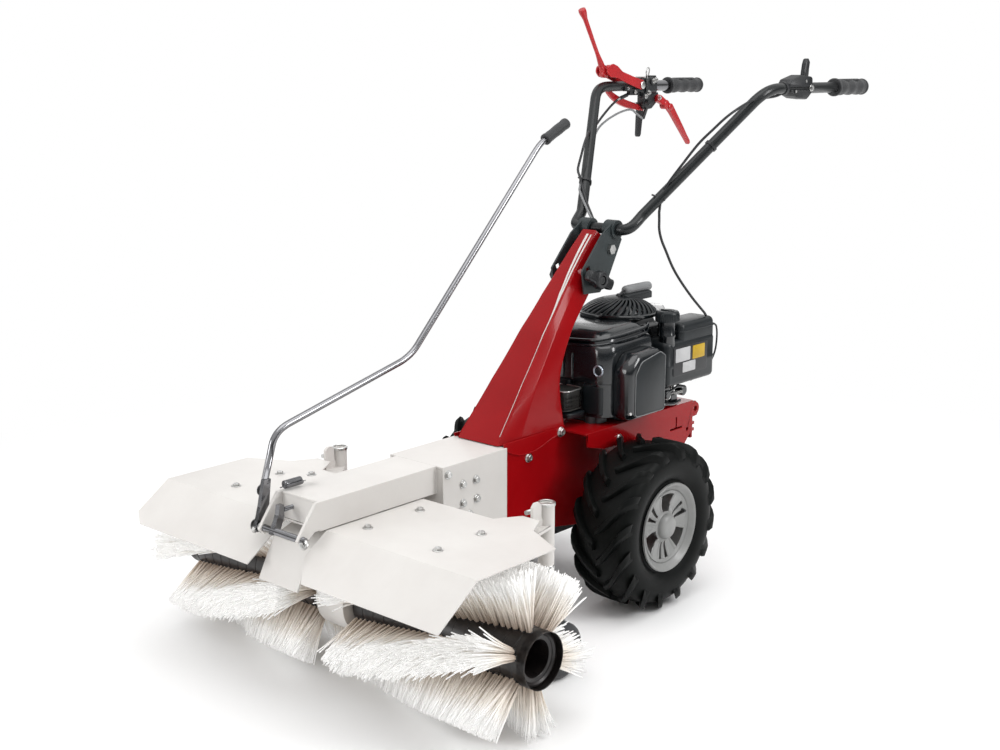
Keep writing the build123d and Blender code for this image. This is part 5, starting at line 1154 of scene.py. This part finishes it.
# clip of bent wire over the clamp
g.tube(spline([(-196, 512, 998), (-195, 506, 1010), (-196, 512, 1021), (-198, 522, 1018), (-199, 520, 1004)], 3), 1.5, 8)
g.obj("control_screws", M_ZINC, "bar", "zinc_steel")
g = Geo()
CH = [(503, 993), (503, 976), (492, 973), (440, 987), (400, 1000), (376, 1001), (364, 1012), (368, 1024), (386, 1030), (402, 1025), (420, 1013), (470, 1000)]
pr = round_poly(CH, [6, 6, 8, 30, 30, 10, 8, 8, 8, 8, 22, 16], 5)
for a, b in ((-231, -227.2), (-200.8, -197)):
    g.yz(pr, a, b)
web = [(440, 1007.6), (420, 1013), (408, 1020), (406, 1017), (418, 1009.4), (439, 1004)]
g.yz(web, -230, -198)
P = spline([(-214, 372, 1012), (-214, 360, 1033), (-214, 332, 1078), (-214, 304, 1124), (-214, 292, 1143)], 4)
g.tube(P, lambda t: 8.6 - 4.2 * min(1, t * 3.2) + 0.9 * max(0, t - 0.45) * 2 + (3.2 * math.sin(math.pi * min(1, max(0, (t - 0.86) / 0.2))) if t > 0.86 else 0), 18)
g.lathe([(-7.5, 0), (-7.5, 9), (-6, 10.5), (6, 10.5), (7.5, 9), (7.5, 0)], (-214, 374, 1010), (1, 0, 0), 28)
g.lathe([(-9, 0), (-9, 6), (-8, 7.5), (8, 7.5), (9, 6), (9, 0)], (-214, 396, 1020), (1, 0, 0), 24)
g.obj("clutch_bail", M_REDP, "clutch", "red_paint", angle=50, bevel=0.6, replaces=["clutch_lever"])
g = Geo()
rv = [(552, 962), (568, 960), (614, 936), (620, 928), (690, 852), (692, 845), (686, 843), (610, 918), (590, 934), (554, 946)]
rr_ = round_poly(rv, [6, 6, 10, 8, 3, 3, 3, 12, 14, 6], 5)
rings = []
for x, d in ((-204.4, 1.0), (-203.2, 0), (-196.6, 0), (-195.4, 1.0)):
    rings.append([(x, 620 + (y - 620) * (1 - d / 120), 902 + (z - 902) * (1 - d / 60)) for y, z in rr_])
g.loft(rings)
g.tube([(-236, 560, 954), (-192.6, 560, 954)], 4.9, 16)
g.lathe([(0, 7.6), (3, 7.8), (4.2, 6), (4.4, 0)], (-195.6, 604, 932), (1, 0, 0), 24)
P = spline([(-204, 614, 935), (-202, 640, 905), (-200, 666, 874), (-199.8, 686, 850)], 5)
g.tube(P, lambda t: 7.6 - 2.6 * t, 16)
g.lathe([(-10, 0), (-10, 8.5), (-8.5, 10.5), (5, 10.5), (6.5, 9), (6.5, 0)], (-200, 590, 938), (1, 0, 0), 28)
g.obj("reverse_arm", M_REDP, "reverse", "red_paint", angle=50, bevel=0.5, replaces=["reverse_lever"])

g = Geo()
P = spline([(-222, 384, 988), (-224, 398, 973), (-224, 426, 957), (-224, 462, 945), (-223, 500, 937), (-222, 530, 930)], 5)
rings = []
for i_, p in enumerate(P):
    t = i_ / (len(P) - 1)
    h = 8.5 * math.sin(math.pi * (0.12 + 0.76 * t)) + 2
    rings.append([(p.x - 3, p.y, p.z - h), (p.x + 5, p.y, p.z - h), (p.x + 5, p.y + 1, p.z + h * 0.6), (p.x - 3, p.y + 1, p.z + h * 0.6)])
g.loft(rings)
g.obj("clutch_strap", M_REDP, "bar", "red_paint", bevel=1.4, seg=3, angle=50)
g = Geo()
g.lathe([(556, 11.3), (556, 12.6), (558, 13.2), (570, 12.4), (600, 12.4), (611, 12.4), (613, 11.4)], (-214, 0, 981), (0, 1, 0), 36, closed=True)
g.obj("chrome_sleeve", M_CHROME, "bar", "chrome")
# small brackets, pins and cable ends around the clamp
g = Geo()
g.box((-205, 470, 968), (10, 34, 14))
g.box((-203, 446, 975), (7, 26, 10))
g.lathe([(0, 0), (0, 7), (12, 7), (14, 5.5), (14, 0)], (-204, 500, 958), (1, 0, 0), 24)
g.lathe([(0, 0), (0, 9), (9, 9), (11, 7), (11, 0)], (-203, 532, 992), (1, 0, 0), 24)
g.lathe([(0, 0), (0, 6), (10, 6), (11, 4.6), (11, 0)], (-204, 520, 944), (1, 0, 0), 20)
g.tube([(-210, 456, 962), (-210, 430, 955)], 4.2, 14)
g.tube([(-206, 524, 930), (-206, 512, 908)], 4.2, 14)
g.box((-212, 548, 1001), (22, 12, 6))
g.obj("control_brackets", M_PLA, "bar", "black_plastic", bevel=1.0)
g = Geo()
g.bolt((-190, 500, 958), (1, 0, 0), 3.4, 2.6)
g.bolt((-192, 532, 992), (1, 0, 0), 4.0, 3)
g.bolt((-198, 470, 968), (1, 0, 0), 3.0, 2.4)
g.bolt((-201, 446, 976), (1, 0, 0), 2.6, 2.0)
g.tube([(-210, 430, 955), (-210, 416, 950)], 2.2, 10)
g.tube([(-222, 504, 1000), (-198, 504, 1000)], 2.0, 10)
g.obj("control_pins", M_ZINC, "bar", "zinc_steel")


# wing knob
def knob(name, body, s, rep):
    ky, kz = 15.0, 621.0
    M = Matrix.Translation((0, ky, kz)) @ Matrix.Rotation(rad(-28), 4, "X")
    g = Geo()
    g.lathe([(39.9, 12.6), (41.5, 13.6), (48.5, 13.6), (50.5, 16.4), (52.5, 18.2), (61.5, 18.2), (64.5, 17), (66.1, 14), (66.1, 9.4), (60.5, 9.0), (60.5, 0)], (0, ky, kz), (s, 0, 0), 48)
    for e in (1, -1):
        prof = [(12, 17.5), (24, 14.5), (34, 16.0), (38.5, 13.6), (39.6, 8.5), (39.6, 2), (38.6, -4), (36, -7.2), (30, -8.4), (20, -8.4), (12, -12)]
        rings = []
        for x, k_ in ((49, 0.86), (51, 0.97), (53.5, 1.0), (59.5, 1.0), (62.3, 0.97), (63.7, 0.86)):
            rings.append([M @ Vector((s * x, e * (26 + (a - 26) * k_), e * (4 + (b - 4) * k_) * 0.92)) for a, b in round_poly(prof, [2, 5, 6, 6, 4, 4, 4, 3, 4, 4, 2], 4)])
        g.loft(rings)
        for q in range(6):
            yy = 17 + q * 3.6
            g.tube([M @ Vector((s * 63.9, e * yy, e * (-5))), M @ Vector((s * 64.1, e * yy, e * 9.5))], 0.9, 6)
    o = g.obj(name, M_PLA, body, "black_plastic", angle=45, replaces=[rep])
    g = Geo()
    g.bolt((s * 59.9, ky, kz), (s, 0, 0), 8.4, 4.6, False)
    g.obj(name + "_nut", M_BLACK, body, "black_paint")


knob("wing_knob", "left_knob", 1, "knob_left")

# release lever grip: soft sleeve
g = Geo()
d = Vector((0, 58, 27)).normalized()
g.lathe([(0, 6.2), (0, 10), (1.5, 11.3), (6, 11.3), (9, 10.6), (26, 10.2), (44, 10.9), (60, 10.4), (68, 11.3), (71.5, 10.6), (73, 8), (73, 0)], (-58, -16, 885.93), d, 32)
g.obj("release_sleeve", M_RUB, "release", "rubber", angle=45, replaces=["lever_grip"])

# ------------------------------------------------------------------ caster wheels
for side, s in (("left", 1), ("right", -1)):
    lo, hi = bx("caster_wheel_" + side)
    c = (lo + hi) / 2
    body = "roller_l" if s > 0 else "roller_r"
    g = Geo()
    g.lathe([(-14, 24), (-14, 40), (-13, 44), (-10.5, 47.6), (-6, 49.5), (0, 50), (6, 49.5), (10.5, 47.6), (13, 44), (14, 40), (14, 24)], c, (1, 0, 0), 64, closed=True)
    g.obj("caster_tread_" + side, M_RUB, body, "rubber", angle=50, replaces=["caster_wheel_" + side])
    g = Geo()
    pr = [(-14, 8.4), (-14.2, 13), (-11, 15), (-11, 34), (-13.4, 37), (-13.6, 40), (13.6, 40), (13.4, 37), (11, 34), (11, 15), (14.2, 13), (14, 8.4)]
    g.lathe(pr, c, (1, 0, 0), 64, closed=True)
    for k in range(6):
        a = 2 * math.pi * k / 6
        g.box((0, 0, 25), (26, 2.6, 20), Matrix.Translation(c) @ Matrix.Rotation(a, 4, "X"))
    g.obj("caster_hub_" + side, M_HGREY, body, "handle_grey", angle=40, bevel=0.5)

# steel end rings on the head's posts, open for the stems
g = Geo()
for s in (1, -1):
    g.lathe([(308, 11.2), (308, 15.6), (312, 15.6), (313.4, 14.2), (313.4, 12.0), (312.6, 11.2)], (s * 258, -386, 0), (0, 0, 1), 40, closed=True)
    g.lathe([(196, 11.2), (196, 15.2), (201, 15.4), (203, 14.2), (203, 11.2)], (s * 258, -386, 0), (0, 0, 1), 40, closed=True)
g.obj("post_plugs", M_ZINC, "head", "zinc_steel", angle=40)

# ------------------------------------------------------------------ springs, hooks and cables
# return spring of the release hook: a fixed coil between the spring's two ends, left on no body
lo, hi = bx("return_spring")
g = Geo()
sx, sz = -40.0, 355.0
y0, y1 = lo[1] + 1, hi[1] - 1
hp = [V(sx, y0, sz - 3)]
N_ = 300
for k in range(N_ + 1):
    t = k / N_
    a = 2 * math.pi * 15 * t
    hp.append(V(sx + 6.2 * math.cos(a), y0 + 9 + (y1 - y0 - 18) * t, sz + 6.2 * math.sin(a)))
hp.append(V(sx, y1, sz - 3))
g.tube(hp, 1.05, 8)
o = g.obj("hook_spring", M_CHROME, (1,), "zinc_steel", replaces=["return_spring"])
join(o)

# front hook work: cross bar ends, hooks, nut and washer stack
g = Geo()
for s in (1, -1):
    P = [V(s * 50, -742, 290), V(s * 58, -742, 290), V(s * 62, -744, 286), V(s * 62, -749, 282), V(s * 60, -753, 286), V(s * 58, -752, 291)]
    g.tube(spline(P, 2), 3.2, 10)
g.obj("hook_ends", M_ZINC, "release", "zinc_steel")
g = Geo()
g.lathe([(0, 9.0), (2, 9.6), (3, 9.6), (3.6, 8.6), (3.6, 6.2), (0, 6.2)], (-52.5, -742, 290), (1, 0, 0), 24, closed=True)
g.bolt((-69, -726, 346), (-1, 0, 0), 6.5, 4.5)
g.bolt((-69, -742, 290), (-1, 0, 0), 6.5, 4.5)
g.obj("hook_nuts", M_ZINC, "release", "zinc_steel")

# cables
def cable(name, pts, r, a, b=None, mat=M_PLA, slot="black_plastic", seg=10):
    g = Geo()
    g.tube(spline(pts, 6), r, seg)
    if b is None:
        return g.obj(name, mat, a, slot)
    o = g.obj(name, mat, (1,), slot)
    join(o)
    return o


# throttle cable: along the left tube, behind it, then down to the engine
cable("cable_throttle_upper", [(214, 404, 972), (212, 379, 966), (206, 330, 962), (200, 300, 956), (188, 249, 932), (168, 226, 905), (148, 206, 877), (128, 182, 838), (108, 163, 800), (99, 156, 776), (98, 150, 745)], 2.6, "bar")
cable("cable_throttle_lower", [(98, 150, 745), (98, 151, 728), (98, 152, 709), (101, 157, 688), (104, 167, 668), (108, 186, 634), (112, 209, 604), (116, 244, 568), (118, 274, 542), (118, 292, 528), (118, 300, 520)], 2.6,
      "chassis", "bar")
# drive cables: on the right tube, then into the column's open top
cable("cable_clutch_upper", [(-210, 418, 951), (-208, 392, 938), (-200, 350, 916), (-176, 292, 896), (-150, 240, 888), (-122, 191, 871), (-119, 176, 845), (-118, 164, 817), (-110, 159, 806), (-102, 155, 792)], 2.6, "bar")
cable("cable_drive_upper", [(-206, 512, 908), (-206, 490, 918), (-207, 467, 929), (-207, 430, 925), (-206, 391, 914), (-204, 366, 905), (-200, 344, 896), (-186, 312, 884), (-160, 262, 862), (-134, 214, 832), (-116, 178, 806), (-104, 156, 790), (-96, 142, 778)], 2.4, "bar", mat=M_HGREY, slot="handle_grey")
cable("cable_drive_lower", [(-96, 142, 778), (-84, 134, 766), (-60, 121, 744), (-38, 110, 724), (-20, 100, 706), (-10, 90, 690), (-7, 74, 665), (-6, 50, 630), (-6, 26, 596)], 2.4,
      "chassis", "bar", mat=M_HGREY, slot="handle_grey")
cable("cable_clutch_lower", [(-102, 155, 792), (-92, 148, 780), (-66, 130, 752), (-44, 118, 730), (-24, 106, 708), (-16, 96, 690), (-14, 80, 665), (-14, 56, 630), (-14, 30, 596)], 2.6,
      "chassis", "bar")
# ties that hold the cables to the tubes
g = Geo()


def tie(c, d, r, w=5.0):
    d = Vector(d).normalized()
    g.lathe([(-w / 2, r), (-w / 2, r + 1.3), (w / 2, r + 1.3), (w / 2, r)], c, d, 28, closed=True)
    up = Vector((0, 0, 1)) if abs(d.z) < 0.9 else Vector((1, 0, 0))
    e1 = (up - d * up.dot(d)).normalized()
    g.box((0, 0, 0), (5, 4.5, 5), Matrix.Translation(Vector(c) + e1 * (r + 2)))


tie((99, 156, 770), (-4, -8, -20), 3.0)
g.tube([(98, 156, 772), (92, 146, 776), (88, 138, 779)], 1.8, 8)
g.tube([(-104, 158, 800), (-112, 160, 800), (-118, 166, 800)], 1.6, 8)
g.lathe([(-3, 13.2), (-3, 11.2), (3, 11.2), (3, 13.2)], (150.4, 246.4, 871.2), (-120, -193.7, -212.6), 28, closed=True)
g.lathe([(-3, 13.2), (-3, 11.2), (3, 11.2), (3, 13.2)], (-104.8, 172.8, 790.4), (120, -193.7, -212.6), 28, closed=True)
g.obj("cable_ties", M_PLA, "bar", "black_plastic")

# release lever's rear connecting parts: bolt that carries the lever on the beam
g = Geo()
g.bolt((-34, -648, 361), (0, 0, 1), 5.4, 4)
g.obj("anchor_nut", M_ZINC, "chassis", "zinc_steel")

# ------------------------------------------------------------------ light, floor, camera
sc = bpy.context.scene

w = bpy.data.worlds.new("studio")
sc.world = w
w.use_nodes = True
wn, wl = w.node_tree.nodes, w.node_tree.links
bg = wn["Background"]
tcw = wn.new("ShaderNodeTexCoord")
sx_ = wn.new("ShaderNodeSeparateXYZ")
wl.new(tcw.outputs["Generated"], sx_.inputs[0])
mrw = wn.new("ShaderNodeMapRange")
mrw.inputs["From Min"].default_value, mrw.inputs["From Max"].default_value = -1.0, 1.0
wl.new(sx_.outputs["Z"], mrw.inputs["Value"])
rw = wn.new("ShaderNodeValToRGB")
e = rw.color_ramp.elements
e[0].position, e[0].color = 0.46, (0.45, 0.45, 0.45, 1)
e[1].position, e[1].color = 1.0, (1, 1, 1, 1)
for pos, val in ((0.52, 0.10), (0.60, 0.16), (0.68, 0.62), (0.80, 0.95)):
    x_ = e.new(pos)
    x_.color = (val, val, val, 1)
wl.new(mrw.outputs["Result"], rw.inputs["Fac"])
wl.new(rw.outputs["Color"], bg.inputs["Color"])
bg.inputs["Strength"].default_value = 1.0
bg2 = wn.new("ShaderNodeBackground")
bg2.inputs["Color"].default_value = (1, 1, 1, 1)
bg2.inputs["Strength"].default_value = 1.0
lp = wn.new("ShaderNodeLightPath")
mxw = wn.new("ShaderNodeMixShader")
wl.new(lp.outputs["Is Camera Ray"], mxw.inputs["Fac"])
wl.new(bg.outputs[0], mxw.inputs[1])
wl.new(bg2.outputs[0], mxw.inputs[2])
wl.new(mxw.outputs[0], wn["World Output"].inputs["Surface"])
sc.view_settings.view_transform = "Standard"
sc.view_settings.look = "None"
sc.view_settings.exposure = 0.0


def area(name, loc, target, size, power, col=(1, 1, 1), shape=None):
    d = bpy.data.lights.new(name, "AREA")
    d.shape = "RECTANGLE"
    d.size, d.size_y = size
    d.energy, d.color = power, col
    o = bpy.data.objects.new(name, d)
    sc.collection.objects.link(o)
    o.location = loc
    o.rotation_euler = (Vector(target) - Vector(loc)).to_track_quat("-Z", "Y").to_euler()
    return o


L1 = area("soft_top", (0.3, -0.4, 3.2), (0, -0.1, 0.4), (2.6, 2.0), 30)
L2 = area("soft_left", (-1.4, -3.4, 1.2), (0, -0.3, 0.2), (1.6, 1.4), 40)
L4 = area("soft_back", (-3.1, 3.3, 1.35), (0, 0.1, 0.5), (3.0, 1.3), 20)
L3 = area("soft_right", (3.2, 1.2, 2.2), (0.1, 0.0, 0.5), (1.0, 1.8), 58)

bpy.ops.mesh.primitive_plane_add(size=30, location=(0, 0, -0.0006))
floor = bpy.context.object
floor.name = "studio_floor"
fm = bpy.data.materials.new("studio_floor")
fm.use_nodes = True
fb = fm.node_tree.nodes["Principled BSDF"]
fb.inputs["Base Color"].default_value = (0.93, 0.93, 0.93, 1)
fb.inputs["Roughness"].default_value = 0.9
fb.inputs["Specular IOR Level"].default_value = 0.1
fnt = fm.node_tree
tcf = fnt.nodes.new("ShaderNodeTexCoord")
ln = fnt.nodes.new("ShaderNodeVectorMath")
ln.operation = "LENGTH"
fnt.links.new(tcf.outputs["Object"], ln.inputs[0])
mf = fnt.nodes.new("ShaderNodeMapRange")
mf.inputs["From Min"].default_value, mf.inputs["From Max"].default_value = 0.75, 1.9
mf.interpolation_type = "SMOOTHSTEP"
fnt.links.new(ln.outputs["Value"], mf.inputs["Value"])
em = fnt.nodes.new("ShaderNodeEmission")
em.inputs["Color"].default_value = (1, 1, 1, 1)
lpf = fnt.nodes.new("ShaderNodeLightPath")
mul = fnt.nodes.new("ShaderNodeMath")
mul.operation = "MULTIPLY"
fnt.links.new(mf.outputs["Result"], mul.inputs[0])
fnt.links.new(lpf.outputs["Is Camera Ray"], mul.inputs[1])
mxf = fnt.nodes.new("ShaderNodeMixShader")
fnt.links.new(mul.outputs[0], mxf.inputs["Fac"])
fnt.links.new(fb.outputs[0], mxf.inputs[1])
fnt.links.new(em.outputs[0], mxf.inputs[2])
fnt.links.new(mxf.outputs[0], fnt.nodes["Material Output"].inputs["Surface"])
floor.data.materials.append(fm)
floor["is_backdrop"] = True

cam = bpy.data.cameras.new("photo_camera")
cam.sensor_width, cam.lens = 36.0, 49.174
cam.clip_start, cam.clip_end = 0.05, 100
co = bpy.data.objects.new("photo_camera", cam)
sc.collection.objects.link(co)
co.location = (1.64886, -2.07529 + AX_Y * MM, 1.02814)
co.rotation_euler = (rad(90 - 12.805), 0, rad(41.5095))
sc.camera = co
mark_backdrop(co, L1, L2, L3, L4)

lo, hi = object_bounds()
